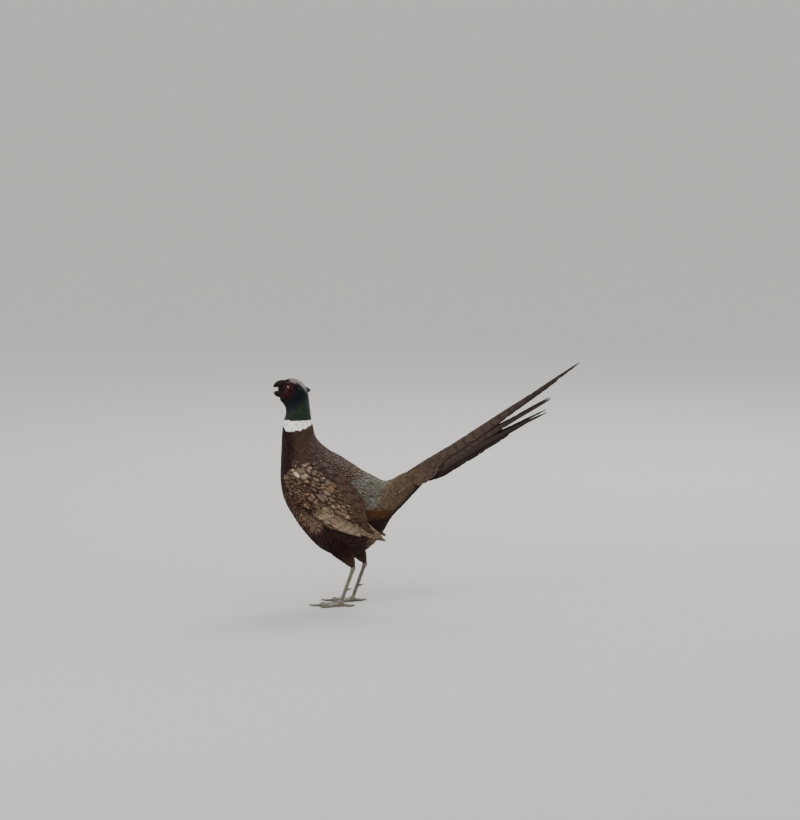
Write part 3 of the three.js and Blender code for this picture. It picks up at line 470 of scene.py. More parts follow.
def lay(plumes, surface, places, measures, heights, shape, looks, root_uv, generator, camber, drift):
    """Feathers that follow a surface(a, b) along a: each sunk at its root and risen at its tip."""
    (a, b), (length, width), (sink, rise) = places, measures, heights
    step = 0.01 * max(1.0, float(np.ptp(a)) / 20)
    across = np.linalg.norm(surface(a, b + 0.01) - surface(a, b - 0.01), axis=-1) / 0.02
    shares, halves = outline(shape)
    a_at = a[:, None] + shares * (length / pace_of(surface, a, b))[:, None]
    b_at = b[:, None] + shares * (drift * length / np.maximum(across, 1e-3))[:, None]
    here = surface(a_at, b_at)
    ahead = unit(surface(a_at + step, b_at) - surface(a_at - step, b_at))
    round_ = surface(a_at, b_at + 0.01) - surface(a_at, b_at - 0.01)
    normal = unit(np.cross(ahead, round_))
    if surface is body_point:
        inside = here - surface(a_at, b_at + np.pi)
        normal *= np.sign((normal * inside).sum(-1, keepdims=True))
    else:
        normal *= np.sign(normal[..., 1:2] * here[..., 1:2])
    side = np.cross(normal, ahead)
    height = -sink[:, None] + (rise + sink)[:, None] * shares**0.75
    centre = here + normal * height[..., None]
    half = (width / 2)[:, None] * halves
    body = np.minimum(0.22, 0.05 + 0.03 * half)[..., None] * normal
    one, other = (
        side * (half * (1 + 0.14 * generator.uniform(-1, 1, half.shape)))[..., None] for _ in range(2)
    )
    droop = normal * (camber * half)[..., None]
    rings = vane(centre, body, one, other, droop)
    plumes.add(rings[:, :-1], centre[:, -1], shares[:-1], root_uv, looks)


# Materials


def new_material(name, roughness, specular):
    material = bpy.data.materials.new(name)
    material.use_nodes = True
    shader = material.node_tree.nodes["Principled BSDF"]
    shader.inputs["Roughness"].default_value = roughness
    shader.inputs["Specular IOR Level"].default_value = specular
    return material, Wiring(material.node_tree), shader


class Wiring:
    """Short calls for the nodes of one tree."""

    def __init__(self, tree):
        self.tree = tree

    def node(self, kind, **settings):
        made = self.tree.nodes.new(kind)
        for key, value in settings.items():
            setattr(made, key, value)
        return made

    def feed(self, node, **values):
        for key, value in values.items():
            socket = node.inputs[int(key[1:])] if key[0] == "i" and key[1:].isdigit() else node.inputs[key]
            if isinstance(value, bpy.types.NodeSocket):
                self.tree.links.new(value, socket)
            else:
                socket.default_value = value
        return node

    def math(self, operation, a, b=0.0, clamp=False):
        made = self.node("ShaderNodeMath", operation=operation, use_clamp=clamp)
        self.feed(made, i0=a, i1=b)
        return made.outputs[0]

    def ramp(self, value, low, high, to_low=0.0, to_high=1.0):
        made = self.node("ShaderNodeMapRange", interpolation_type="SMOOTHSTEP")
        self.feed(made, i0=value, i1=low, i2=high, i3=to_low, i4=to_high)
        return made.outputs[0]

    def blend(self, share, a, b, kind="MIX"):
        made = self.node("ShaderNodeMix", data_type="RGBA", blend_type=kind)
        self.feed(made, i0=share, i6=a, i7=b)
        return made.outputs[2]

    def noise(self, vector, scale, detail=3.0, roughness=0.55):
        made = self.node("ShaderNodeTexNoise")
        self.feed(made, Vector=vector, Scale=scale, Detail=detail, Roughness=roughness)
        return made.outputs["Fac"]

    def split(self, vector):
        made = self.node("ShaderNodeSeparateXYZ")
        self.feed(made, i0=vector)
        return made.outputs

    def grey(self, value):
        made = self.node("ShaderNodeCombineColor")
        self.feed(made, i0=value, i1=value, i2=value)
        return made.outputs[0]

    def place(self):
        return self.node("ShaderNodeTexCoord").outputs["Object"]

    def attribute(self, name):
        return self.node("ShaderNodeAttribute", attribute_name=name)

    def bump(self, height, distance, strength=1.0):
        made = self.node("ShaderNodeBump")
        self.feed(made, Height=height, Distance=distance, Strength=strength)
        return made.outputs["Normal"]


def rgba(colour):
    return (*[float(c) for c in colour], 1.0)


def group_tree(name, inputs, outputs):
    tree = bpy.data.node_groups.new(name, "ShaderNodeTree")
    for label, kind in inputs:
        tree.interface.new_socket(name=label, in_out="INPUT", socket_type=kind)
    for label, kind in outputs:
        tree.interface.new_socket(name=label, in_out="OUTPUT", socket_type=kind)
    wiring = Wiring(tree)
    return tree, wiring, wiring.node("NodeGroupInput"), wiring.node("NodeGroupOutput")


COLOUR, VALUE, PLACE = "NodeSocketColor", "NodeSocketFloat", "NodeSocketVector"


def barb_group():
    """Shaft and barbs of a feather: a tone that changes along the barbs, and their height."""
    tree, w, given, out = group_tree(
        "Barbs", (("Plume", PLACE), ("Barbs", VALUE), ("Slant", VALUE)), (("Tone", VALUE), ("Height", VALUE))
    )
    x, y, _ = w.split(given.outputs["Plume"])
    off = w.math("ABSOLUTE", w.math("SUBTRACT", x, 0.5))
    rows = w.math("MULTIPLY", y, given.outputs["Barbs"])
    phase = w.math("SUBTRACT", rows, w.math("MULTIPLY", off, given.outputs["Slant"]))
    wave = w.math("SINE", w.math("MULTIPLY", phase, 2 * math.pi))
    shaft = w.ramp(off, 0.0, 0.05, 1.0, 0.0)
    tone = w.math("ADD", w.math("MULTIPLY", wave, 0.5), 0.5)
    height = w.math("ADD", w.math("MULTIPLY", tone, 0.45), shaft)
    w.feed(out, Tone=tone, Height=height)
    return tree


def marking_group():
    """The markings of one body feather over its main colour: pale heart, dark band round it, dark rim."""
    tree, w, given, out = group_tree(
        "Feather markings",
        (
            ("Plume", PLACE),
            ("Main", COLOUR),
            ("Fringe", COLOUR),
            ("Heart", COLOUR),
            ("Marks", PLACE),
            ("Tone", VALUE),
            ("Grain", VALUE),
        ),
        (("Color", COLOUR),),
    )
    x, y, _ = w.split(given.outputs["Plume"])
    rim_amount, heart_amount, band_amount = w.split(given.outputs["Marks"])
    off = w.math("MULTIPLY", w.math("ABSOLUTE", w.math("SUBTRACT", x, 0.5)), 2.0)
    ahead = w.ramp(y, 0.62, 1.04)
    waver = w.math("MULTIPLY", w.math("SUBTRACT", given.outputs["Grain"], 0.5), 0.5)
    far = w.math("ADD", w.math("ADD", w.math("POWER", off, 2.0), w.math("POWER", ahead, 2.0)), waver)
    rim = w.math("MULTIPLY", w.ramp(far, 0.55, 1.1), rim_amount, clamp=True)
    heart = w.math("MULTIPLY", w.ramp(far, 0.62, 0.12), heart_amount, clamp=True)
    band = w.math("MULTIPLY", w.ramp(far, 0.28, 0.4), w.ramp(far, 0.62, 0.5))
    band = w.math("MULTIPLY", band, band_amount, clamp=True)
    deep = w.blend(w.ramp(y, 0.4, 0.78, 0.28, 0.0), given.outputs["Main"], rgba(PLUME["black"]))
    colour = w.blend(heart, deep, given.outputs["Heart"])
    colour = w.blend(band, colour, rgba(PLUME["black"]))
    colour = w.blend(rim, colour, given.outputs["Fringe"])
    shade = w.math("ADD", w.math("MULTIPLY", given.outputs["Tone"], 0.24), 0.86)
    w.feed(out, Color=w.blend(1.0, colour, w.grey(shade), "MULTIPLY"))
    return tree


def bar_group():
    """Bars across a long feather: dark bars with paler edges, broken by noise, and a fringe."""
    tree, w, given, out = group_tree(
        "Feather bars",
        (
            ("Plume", PLACE),
            ("Main", COLOUR),
            ("Bar", COLOUR),
            ("Fringe", COLOUR),
            ("Bars", VALUE),
            ("Amount", VALUE),
            ("Tone", VALUE),
            ("Phase", VALUE),
            ("Place", PLACE),
        ),
        (("Color", COLOUR),),
    )
    x, y, _ = w.split(given.outputs["Plume"])
    off = w.math("MULTIPLY", w.math("ABSOLUTE", w.math("SUBTRACT", x, 0.5)), 2.0)
    waver = w.noise(given.outputs["Place"], 120.0, 2.0)
    phase = w.math("ADD", w.math("MULTIPLY", y, given.outputs["Bars"]), w.math("MULTIPLY", waver, 0.6))
    phase = w.math("ADD", phase, given.outputs["Phase"])
    phase = w.math("SUBTRACT", phase, w.math("MULTIPLY", off, 0.22))
    wave = w.math("SINE", w.math("MULTIPLY", phase, 2 * math.pi))
    bar = w.math("MULTIPLY", w.ramp(wave, 0.45, 0.8), given.outputs["Amount"], clamp=True)
    bar = w.math("MULTIPLY", bar, w.ramp(off, 1.0, 0.75, 0.15, 1.0), clamp=True)
    colour = w.blend(bar, given.outputs["Main"], given.outputs["Bar"])
    colour = w.blend(w.math("MULTIPLY", w.ramp(off, 0.5, 1.0), 0.45), colour, given.outputs["Fringe"])
    shaft = w.ramp(off, 0.05, 0.09, 0.35, 0.0)
    colour = w.blend(shaft, colour, rgba((0.05, 0.03, 0.02)))
    shade = w.math("ADD", w.math("MULTIPLY", given.outputs["Tone"], 0.3), 0.82)
    w.feed(out, Color=w.blend(1.0, colour, w.grey(shade), "MULTIPLY"))
    return tree


def placed(wiring, tree, **values):
    made = wiring.node("ShaderNodeGroup")
    made.node_tree = tree
    for key, value in values.items():
        socket = made.inputs[key.replace("_", " ")]
        if isinstance(value, bpy.types.NodeSocket):
            wiring.tree.links.new(value, socket)
        else:
            socket.default_value = value
    return made


def shared(name, maker):
    return bpy.data.node_groups.get(name) or maker()


def coat_material():
    """The small feathers of head and body, from their own colours and marks."""
    existing = bpy.data.materials.get("coat_feathers")
    if existing:
        return existing
    material, w, shader = new_material("coat_feathers", 0.7, 0.12)
    plume = w.node("ShaderNodeUVMap", uv_map="PlumeUV").outputs[0]
    barbs = placed(w, shared("Barbs", barb_group), Plume=plume, Barbs=16.0, Slant=5.0)
    marks = placed(
        w,
        shared("Feather markings", marking_group),
        Plume=plume,
        Main=w.attribute("main").outputs["Color"],
        Fringe=w.attribute("mark").outputs["Color"],
        Heart=w.attribute("heart").outputs["Color"],
        Marks=w.attribute("marks").outputs["Vector"],
        Tone=barbs.outputs["Tone"],
        Grain=w.noise(w.place(), 420.0, 2.0),
    )
    place = w.place()
    gloss = w.attribute("gloss").outputs["Fac"]
    shimmer = w.ramp(w.noise(place, 55.0, 2.0), 0.38, 0.62)
    sheen = w.blend(shimmer, rgba((1.5, 1.0, 1.9)), rgba((0.8, 1.5, 1.1)))
    shining = w.blend(1.0, marks.outputs[0], sheen, "MULTIPLY")
    glossed = w.blend(w.math("MULTIPLY", gloss, 0.6), marks.outputs[0], shining)
    w.feed(shader, **{"Base Color": glossed})
    w.feed(shader, Roughness=w.ramp(gloss, 0.0, 1.0, 0.75, 0.42))
    w.feed(shader, Metallic=w.math("MULTIPLY", gloss, 0.5))
    w.feed(shader, Normal=w.bump(barbs.outputs["Height"], 0.00012, 0.7))
    return material


def skin_material():
    """Skin under the coat, which carries the coat's own colours."""
    material, w, shader = new_material("coat_skin", 0.85, 0.08)
    place = w.place()
    fine = w.noise(place, 900.0, 3.0)
    main, mark = (w.attribute(label).outputs["Color"] for label in ("main", "mark"))
    colour = w.blend(w.ramp(fine, 0.3, 0.7, 0.25, 0.75), main, mark)
    dark = w.blend(0.45, colour, rgba((0.01, 0.008, 0.007)))
    w.feed(shader, **{"Base Color": dark, "Normal": w.bump(fine, 0.0003, 0.6)})
    return material


def long_feather_material(name, bars, amount, main, bar, fringe, roughness=0.62):
    """Flight and tail feathers, barred across."""
    existing = bpy.data.materials.get(name)
    if existing:
        return existing
    material, w, shader = new_material(name, roughness, 0.12)
    plume = w.node("ShaderNodeUVMap", uv_map="PlumeUV").outputs[0]
    place = w.place()
    barbs = placed(w, shared("Barbs", barb_group), Plume=plume, Barbs=110.0, Slant=22.0)
    tint = w.attribute("main").outputs["Color"]
    soft = w.ramp(w.noise(place, 90.0, 3.0), 0.3, 0.7, 0.78, 1.18)
    barred = placed(
        w,
        shared("Feather bars", bar_group),
        Plume=plume,
        Main=w.blend(1.0, w.blend(0.12, tint, rgba(main)), w.grey(soft), "MULTIPLY"),
        Bar=rgba(bar),
        Fringe=rgba(fringe),
        Bars=bars,
        Amount=amount,
        Tone=barbs.outputs["Tone"],
        Phase=w.attribute("gloss").outputs["Fac"],
        Place=place,
    )
    w.feed(shader, **{"Base Color": barred.outputs[0]})
    w.feed(shader, Normal=w.bump(barbs.outputs["Height"], 0.0002, 0.8))
    return material


def wattle_material():
    """Warty bare skin with rows of tiny dark feathers."""
    material, w, shader = new_material("wattle_skin", 0.6, 0.14)
    place = w.place()
    warts = w.node("ShaderNodeTexVoronoi", feature="F1")
    w.feed(warts, Vector=place, Scale=900.0)
    grain = warts.outputs["Distance"]
    # Both reds are far darker than the wattle's own bright red: painted shade of the face over the wattle's
    # warty red.
    red = w.blend(w.ramp(grain, 0.1, 0.7), rgba((0.038, 0.0025, 0.004)), rgba((0.010, 0.001, 0.0015)))
    specks = w.node("ShaderNodeTexVoronoi", feature="F1")
    w.feed(specks, Vector=place, Scale=420.0)
    dark = w.ramp(specks.outputs["Distance"], 0.12, 0.2, 0.8, 0.0)
    w.feed(shader, **{"Base Color": w.blend(dark, red, rgba((0.012, 0.012, 0.012)))})
    w.feed(shader, Normal=w.bump(w.math("SUBTRACT", 1.0, grain), 0.0005, 0.9))
    shader.inputs["Subsurface Weight"].default_value = 0.08
    shader.inputs["Subsurface Radius"].default_value = (0.002, 0.0006, 0.0004)
    return material


def horn_material(name, pale, dark, roughness=0.35, specular=0.3):
    material, w, shader = new_material(name, roughness, specular)
    place = w.place()
    streak = w.node("ShaderNodeMapping")
    w.feed(streak, Vector=place, Scale=(40.0, 400.0, 400.0))
    grain = w.noise(streak.outputs[0], 1.0, 4.0)
    w.feed(shader, **{"Base Color": w.blend(w.ramp(grain, 0.3, 0.75), rgba(pale), rgba(dark))})
    w.feed(shader, Roughness=w.ramp(grain, 0.2, 0.8, roughness - 0.08, roughness + 0.15))
    w.feed(shader, Normal=w.bump(grain, 0.0002, 0.5))
    return material


def leg_material():
    """Grey scutes: small scales with dark rims between them, the same all over the leg."""
    material, w, shader = new_material("leg_scales", 0.5, 0.4)
    place = w.place()
    scales = w.node("ShaderNodeTexVoronoi", feature="DISTANCE_TO_EDGE")
    stretch = w.node("ShaderNodeMapping")
    w.feed(stretch, Vector=place, Scale=(1.0, 1.0, 1.35))
    w.feed(scales, Vector=stretch.outputs[0], Scale=520.0)
    rim = w.ramp(scales.outputs["Distance"], 0.0, 0.12)
    tone = w.noise(place, 160.0, 3.0)
    skin = w.blend(w.ramp(tone, 0.3, 0.7), rgba((0.17, 0.15, 0.115)), rgba((0.10, 0.085, 0.065)))
    w.feed(shader, **{"Base Color": w.blend(rim, rgba((0.05, 0.042, 0.033)), skin)})
    w.feed(shader, Normal=w.bump(rim, 0.0004, 0.8))
    return material


def eye_material():
    """Pupil, amber iris with fine spokes and a dark rim, by the eyeball's own map."""
    material, w, shader = new_material("eyeball", 0.06, 0.5)
    globe = w.node("ShaderNodeUVMap", uv_map="EyeUV").outputs[0]
    _, y, _ = w.split(globe)
    spokes = w.noise(globe, 60.0, 2.0)
    # The iris is darker than the eye's own pale iris: painted shade of the face over its amber.
    iris = w.blend(w.ramp(spokes, 0.3, 0.7), rgba((0.12, 0.050, 0.010)), rgba((0.06, 0.022, 0.005)))
    seen = w.blend(w.ramp(y, 0.155, 0.17), rgba((0.003, 0.003, 0.003)), iris)
    w.feed(shader, **{"Base Color": w.blend(w.ramp(y, 0.30, 0.345), seen, rgba((0.012, 0.008, 0.006)))})
    shader.inputs["Coat Weight"].default_value = 1.0
    shader.inputs["Coat Roughness"].default_value = 0.02
    return material


# Work on pieces


def deselect():
    if bpy.context.mode != "OBJECT":
        bpy.ops.object.mode_set(mode="OBJECT")
    bpy.ops.object.select_all(action="DESELECT")


def pick(piece):
    deselect()
    piece.select_set(True)
    bpy.context.view_layer.objects.active = piece


def finish_piece(piece, material, replaces=()):
    piece.data.materials.clear()
    piece.data.materials.append(material)
    pick(piece)
    bpy.ops.object.shade_smooth()
    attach(piece, "root")
    if replaces:
        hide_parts(*replaces)
    return piece


def joined_copy(names, name):
    """A copy of CAD nodes as one object with its doubles merged."""
    deselect()
    copies = []
    for node in names:
        copy = bpy.data.objects.new(name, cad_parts[node].data.copy())
        bpy.context.collection.objects.link(copy)
        copy.data.materials.clear()
        copy.select_set(True)
        copies.append(copy)
    bpy.context.view_layer.objects.active = copies[0]
    if len(copies) > 1:
        bpy.ops.object.join()
    piece = bpy.context.view_layer.objects.active
    piece.name = name
    bpy.ops.object.mode_set(mode="EDIT")
    bpy.ops.mesh.select_all(action="SELECT")
    bpy.ops.mesh.remove_doubles(threshold=1e-6)
    bpy.ops.object.mode_set(mode="OBJECT")
    return piece


def apply_modifier(piece, kind, name, **settings):
    pick(piece)
    modifier = piece.modifiers.new(name, kind)
    for key, value in settings.items():
        setattr(modifier, key, value)
    bpy.ops.object.modifier_apply(modifier=modifier.name)


def push(piece, distance, group=""):
    apply_modifier(piece, "DISPLACE", "push", mid_level=0.0, strength=distance, vertex_group=group)


def refined(names, name, voxel, smooth, swell=0.0):
    """A finer, rounder copy of CAD nodes: swollen to close the joints, remeshed, smoothed, shrunk back."""
    piece = joined_copy(names, name)
    if swell:
        push(piece, swell)
    apply_modifier(piece, "REMESH", "remesh", mode="VOXEL", voxel_size=voxel, adaptivity=0.0)
    apply_modifier(piece, "SMOOTH", "soften", factor=0.5, iterations=smooth)
    if swell:
        push(piece, -swell)
    return piece


def seat(piece, band=0.0012, depth=0.0024):
    """Carry the root of half a bill into the face, under the feathers."""
    co = coordinates(piece)
    c, s = math.cos(HEAD_TURN), math.sin(HEAD_TURN)
    back = co[:, 0] * c + co[:, 1] * s
    root = smoothstep(back, back.max() - 2 * band, back.max() - band)
    co += root[:, None] * depth * np.array((c, s, 0), np.float32)
    piece.data.vertices.foreach_set("co", co.astype(np.float32).ravel())
    piece.data.update()


def coordinates(piece):
    co = np.zeros(len(piece.data.vertices) * 3, np.float32)
    piece.data.vertices.foreach_get("co", co)
    return co.reshape(-1, 3)


def node_tree_of(names):
    """A search tree over the surfaces of CAD nodes."""
    points, faces = [], []
    for name in names:
        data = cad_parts[name].data
        first = len(points)
        points += [v.co.copy() for v in data.vertices]
        faces += [[first + i for i in p.vertices] for p in data.polygons]
    return BVHTree.FromPolygons(points, faces)


def distances(tree, points):
    return np.array([tree.find_nearest(Vector(p))[3] for p in points])


# Sizes and colours that a user would change


class PheasantSizes(bpy.types.PropertyGroup):
    coat_depth: bpy.props.FloatProperty(
        name="Coat depth",
        description="From the skin to the tips of the body's feathers",
        default=0.0035,
        unit="LENGTH",
    )
    face_depth: bpy.props.FloatProperty(
        name="Face coat depth", description="The same on the head", default=0.0009, unit="LENGTH"
    )
    skin_voxel: bpy.props.FloatProperty(
        name="Skin grain", description="Edge of the skin's mesh squares", default=0.0022, unit="LENGTH"
    )
    seed: bpy.props.IntProperty(
        name="Seed", description="Of all small differences among feathers", default=11
    )


class PheasantColours(bpy.types.PropertyGroup):
    tail: bpy.props.FloatVectorProperty(
        name="Tail",
        description="Main colour of the tail feathers",
        default=(0.042, 0.028, 0.021),
        subtype="COLOR",
    )
    tail_bar: bpy.props.FloatVectorProperty(
        name="Tail bars",
        description="Bars across the tail",
        default=(0.016, 0.008, 0.006),
        subtype="COLOR",
    )
    floor: bpy.props.FloatVectorProperty(
        name="Floor", description="The studio floor", default=(0.36, 0.355, 0.34), subtype="COLOR"
    )


def sizes():
    return bpy.context.scene.pheasant_sizes


def colours():
    return bpy.context.scene.pheasant_colours


# The pieces


FLESH = ("head", "neck", "neck_ring", "torso", "rump", "thigh_left", "thigh_right", "wing_left", "wing_right")


def nearest_places(points):
    """Station and angle of the coat's place nearest to each point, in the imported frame."""
    stations = np.linspace(0, LAST_STATION + CONE_STATIONS - 0.4, 240)
    angles = np.linspace(-np.pi, np.pi, 96, endpoint=False)
    grid_a, grid_b = (g.ravel() for g in np.meshgrid(stations, angles, indexing="ij"))
    places = to_frame(body_point(grid_a, grid_b))
    tree = KDTree(len(places))
    for i, p in enumerate(places):
        tree.insert(p, i)
    tree.balance()
    found = np.array([tree.find(p)[1] for p in points])
    return grid_a[found], grid_b[found]


def cut_copy(node, name, place, normal):
    """A copy of one CAD node without all that lies beyond a plane."""
    piece = joined_copy((node,), name)
    bpy.ops.object.mode_set(mode="EDIT")
    bpy.ops.mesh.select_all(action="SELECT")
    bpy.ops.mesh.bisect(plane_co=to_frame(place), plane_no=normal, clear_outer=True, use_fill=True)
    bpy.ops.object.mode_set(mode="OBJECT")
    return piece


class PHEASANT_OT_skin(bpy.types.Operator):
    """One skin under the coat, from head to tail and down to the ankles"""

    bl_idname = "pheasant.skin"
    bl_label = "Skin"

    def execute(self, context):
        rise = (math.cos(TAIL_RISE), 0, math.sin(TAIL_RISE))
        fall = (math.cos(WING_FALL), 0, math.sin(WING_FALL))
        parts = [cut_copy("tail", "tail_flesh", tail_point(RIGHT, TAIL_SKIN_END, 0.0, 0.0), rise)]
        for side, label in SIDES:
            wrist = wing_point(side, WING_SKIN_END, 0.0)
            parts.append(cut_copy(f"wing_{label}", f"wing_flesh_{label}", wrist, fall))
        skin = joined_copy([node for node in FLESH if not node.startswith("wing")], "skin")
        deselect()
        for part in parts + [skin]:
            part.select_set(True)
        context.view_layer.objects.active = skin
        bpy.ops.object.join()
        swell = 0.0006
        push(skin, swell)
        apply_modifier(skin, "REMESH", "remesh", mode="VOXEL", voxel_size=sizes().skin_voxel, adaptivity=0.0)
        apply_modifier(skin, "SMOOTH", "soften", factor=0.5, iterations=4)
        points = coordinates(skin)
        station, angle = nearest_places(points)
        depth = mix(sizes().face_depth, sizes().coat_depth, smoothstep(station, 5, 11)) + swell
        group = skin.vertex_groups.new(name="depth")
        deepest = float(depth.max())
        steps = np.round(depth / deepest * 20).astype(int)
        for step in np.unique(steps):
            group.add([int(i) for i in np.nonzero(steps == step)[0]], step / 20, "REPLACE")
        push(skin, -deepest, "depth")
        looks = markings(station, angle)
        u, v = wing_place(points / MM - (OFFSET_X, 0, 0))
        on_wing = distances(node_tree_of(("wing_left", "wing_right")), points) < 0.0012
        looks = [np.where(on_wing[:, None], w, b) for w, b in zip(patched(WING_PATCHES, u, v), looks)]
        # By the wattles the skin takes the crimson, as dark as the wattle's painted shade.
        by_wattle = distances(node_tree_of(("wattle_left", "wattle_right")), points)[:, None] < WATTLE_REACH
        looks[:3] = [np.where(by_wattle, PLUME["crimson"], look) for look in looks[:3]]
        paint(skin.data, *looks)
        unwrap = np.stack([(angle + np.pi) / (2 * np.pi), station / (LAST_STATION + CONE_STATIONS)], -1)
        loops = np.zeros(len(skin.data.loops), np.int32)
        skin.data.loops.foreach_get("vertex_index", loops)
        layer = skin.data.uv_layers.new(name="SkinUV")
        layer.data.foreach_set("uv", unwrap[loops].astype(np.float32).ravel())
        finish_piece(skin, skin_material(), FLESH)
        return {"FINISHED"}


# Zones of the coat along the body: from and to station, columns round the body, spacing of the
# rows in millimetres, and how long and wide each feather is against its spacing.
COAT_ZONES = (
    ("coat_face", 0.1, 3.0, 98, 1.05, 3.1, 1.55),
    ("coat_crown", 2.9, 6.2, 110, 1.4, 3.1, 1.6),
    ("coat_neck", 6.1, 8.1, 104, 2.1, 3.2, 1.75),
    ("coat_ring", 7.9, 9.5, 100, 2.2, 3.2, 1.9),
    ("coat_neck_foot", 9.35, 10.6, 84, 3.9, 3.2, 1.9),
    ("coat_breast", 10.4, 13.1, 92, 5.6, 3.2, 1.9),
    ("coat_body", 12.9, 16.1, 92, 6.6, 3.3, 1.9),
    ("coat_belly", 15.9, 18.6, 84, 6.6, 3.6, 1.9),
    ("coat_rump", 18.4, 20.8, 66, 5.8, 4.2, 1.9),
    ("coat_tail_root", 20.6, 23.2, 54, 5.4, 5.2, 1.9),
)


def blotches(places, size):
    """A smooth value from -1 to 1 that wanders over the body, in patches of about the given size."""
    x, y, z = (places[..., i] * 2 * np.pi / size for i in range(3))
    first = np.sin(x + 1.7 * np.sin(0.6 * z + 1.0))
    second = np.sin(0.9 * z - 0.7 * x + 1.3 * np.sin(0.5 * x + y))
    return ((first + second + np.sin(1.3 * x + 1.1 * z + y)) / 2.2)[:, None]


def varied(looks, generator, wander, main=0.18, heart=0.3):
    """The same looks with differences from feather to feather, and from patch to patch by wander."""
    number = len(looks[0])
    hearts = np.clip(0.85 + 0.85 * wander, 0.0, 1.5)
    ones = np.ones(hearts.shape)
    marks = looks[3] * np.hstack([ones, hearts, ones, ones])
    tone = 1 + main * generator.uniform(-1, 1, (number, 1))
    warmth = 1 + 0.06 * generator.uniform(-1, 1, (number, 1)) * np.array((1, 0, -1))
    paler = 1 + heart * generator.uniform(-1, 1, (number, 1))
    each = np.hstack([np.clip(1 + 0.5 * generator.uniform(-1, 1, (number, 3)), 0, 2), ones])
    wandered = looks[0] * (1 + main * wander)
    return [wandered * tone * warmth, looks[1] * tone, looks[2] * paler, np.clip(marks * each, 0, 1)]


def zone_places(start, end, columns, spacing, generator):
    """Roots in even rows along each column, neighbours offset by half a row."""
    grid = np.linspace(start, end, 160)
    angles = 2 * np.pi * (np.arange(columns) + 0.5) / columns
    a, b = [], []
    for j, angle in enumerate(angles):
        line = body_point(grid, np.full(grid.shape, angle))
        reach = np.concatenate([[0], np.cumsum(np.linalg.norm(np.diff(line, axis=0), axis=1))])
        at = np.arange(spacing * (0.5 if j % 2 else 0.0), reach[-1], spacing)
        a.append(np.interp(at, reach, grid))
        b.append(np.full(at.shape, angle))
    a, b = np.concatenate(a), np.concatenate(b)
    a = a + generator.uniform(-0.14, 0.14, a.shape) * spacing * (end - start) / 60
    b = b + generator.uniform(-0.3, 0.3, b.shape) * 2 * np.pi / columns
    across = np.linalg.norm(body_point(a, b + 0.02) - body_point(a, b - 0.02), axis=-1) / 0.04
    return a, b, across * 2 * np.pi / columns


class PHEASANT_OT_coat(bpy.types.Operator):
    """Small feathers over head, neck and body, in zones from the bill to the tail's root"""

    bl_idname = "pheasant.coat"
    bl_label = "Coat"

    def execute(self, context):
        bare = node_tree_of([f"{part}_{label}" for part in ("wattle", "eye") for _, label in SIDES])
        wattles = node_tree_of(("wattle_left", "wattle_right"))
        head = node_tree_of(("head",))
        wings = node_tree_of(("wing_left", "wing_right"))
        for index, (name, start, end, columns, spacing, long, wide) in enumerate(COAT_ZONES):
            generator = np.random.default_rng(sizes().seed * 100 + index)
            a, b, pitch = zone_places(start, end, columns, spacing, generator)
            at = to_frame(body_point(a, b))
            keep = np.ones(a.shape, bool)
            if end <= LAST_FACE_STATION:
                keep &= (distances(bare, at) > 0.0009) & (distances(head, at) < 0.0012)
            if start > 10:
                keep &= distances(wings, at) > 0.0004
            a, b, pitch, at = a[keep], b[keep], pitch[keep], at[keep]
            random = generator.uniform(-1, 1, a.shape)
            depth = mix(sizes().face_depth, sizes().coat_depth, smoothstep(a, 5, 11)) / MM
            length = spacing * long * (1 + 0.12 * generator.uniform(-1, 1, a.shape))
            width = np.maximum(pitch, 0.55 * spacing) * wide * (1 + 0.1 * generator.uniform(-1, 1, a.shape))
            seen = np.minimum(a + 0.8 * length / pace_of(body_point, a, b), LAST_STATION + CONE_STATIONS)
            wander = blotches(body_point(seen, b), 19.0)
            looks = varied(markings(seen, b, random), generator, wander)
            if end <= LAST_FACE_STATION:
                # By the wattles the feathers take the crimson at 0.6 of it: painted shade, darker still than
                # the wattle's.
                near = (distances(wattles, at) < WATTLE_REACH)[:, None]
                looks[:3] = [np.where(near, PLUME["crimson"] * 0.6, look) for look in looks[:3]]
                looks[3] = np.where(near, 0.0, looks[3])
            unwrap = np.stack([np.mod(b, 2 * np.pi) / (2 * np.pi), a / (LAST_STATION + CONE_STATIONS)], -1)
            plumes = Plumes()
            heights = depth + 0.3, -0.15 + 0.35 * random * depth / 4
            shape = LOOSE_FEATHER if start > FIRST_LOOSE_STATION else SMALL_FEATHER
            camber = 0.07 if end <= LAST_FLAT_STATION else 0.12
            drift = 0.08 * generator.uniform(-1, 1, a.shape)
            places, measures = (a, b), (length, width)
            lay(plumes, body_point, places, measures, heights, shape, looks, unwrap, generator, camber, drift)
            finish_piece(plumes.mesh(name), coat_material())
        return {"FINISHED"}


# The thigh's sections down to the ankle: x from the ankle, y, z, and half the girth across and along.
THIGH_SECTIONS = (
    (-37, 37, 142, 21, 25),
    (-25, 37, 120, 18.5, 22),
    (-11, 36, 102, 12.5, 15),
    (-3.5, 34.8, 90, 7.5, 9),
    (-0.3, 34, 84.5, 4.6, 5.4),
)
THIGH_LEAN = (0.88, 0.0, 0.47)
FOOT_X = {LEFT: -10, RIGHT: 14}
ANKLE_BEHIND_FOOT = 26


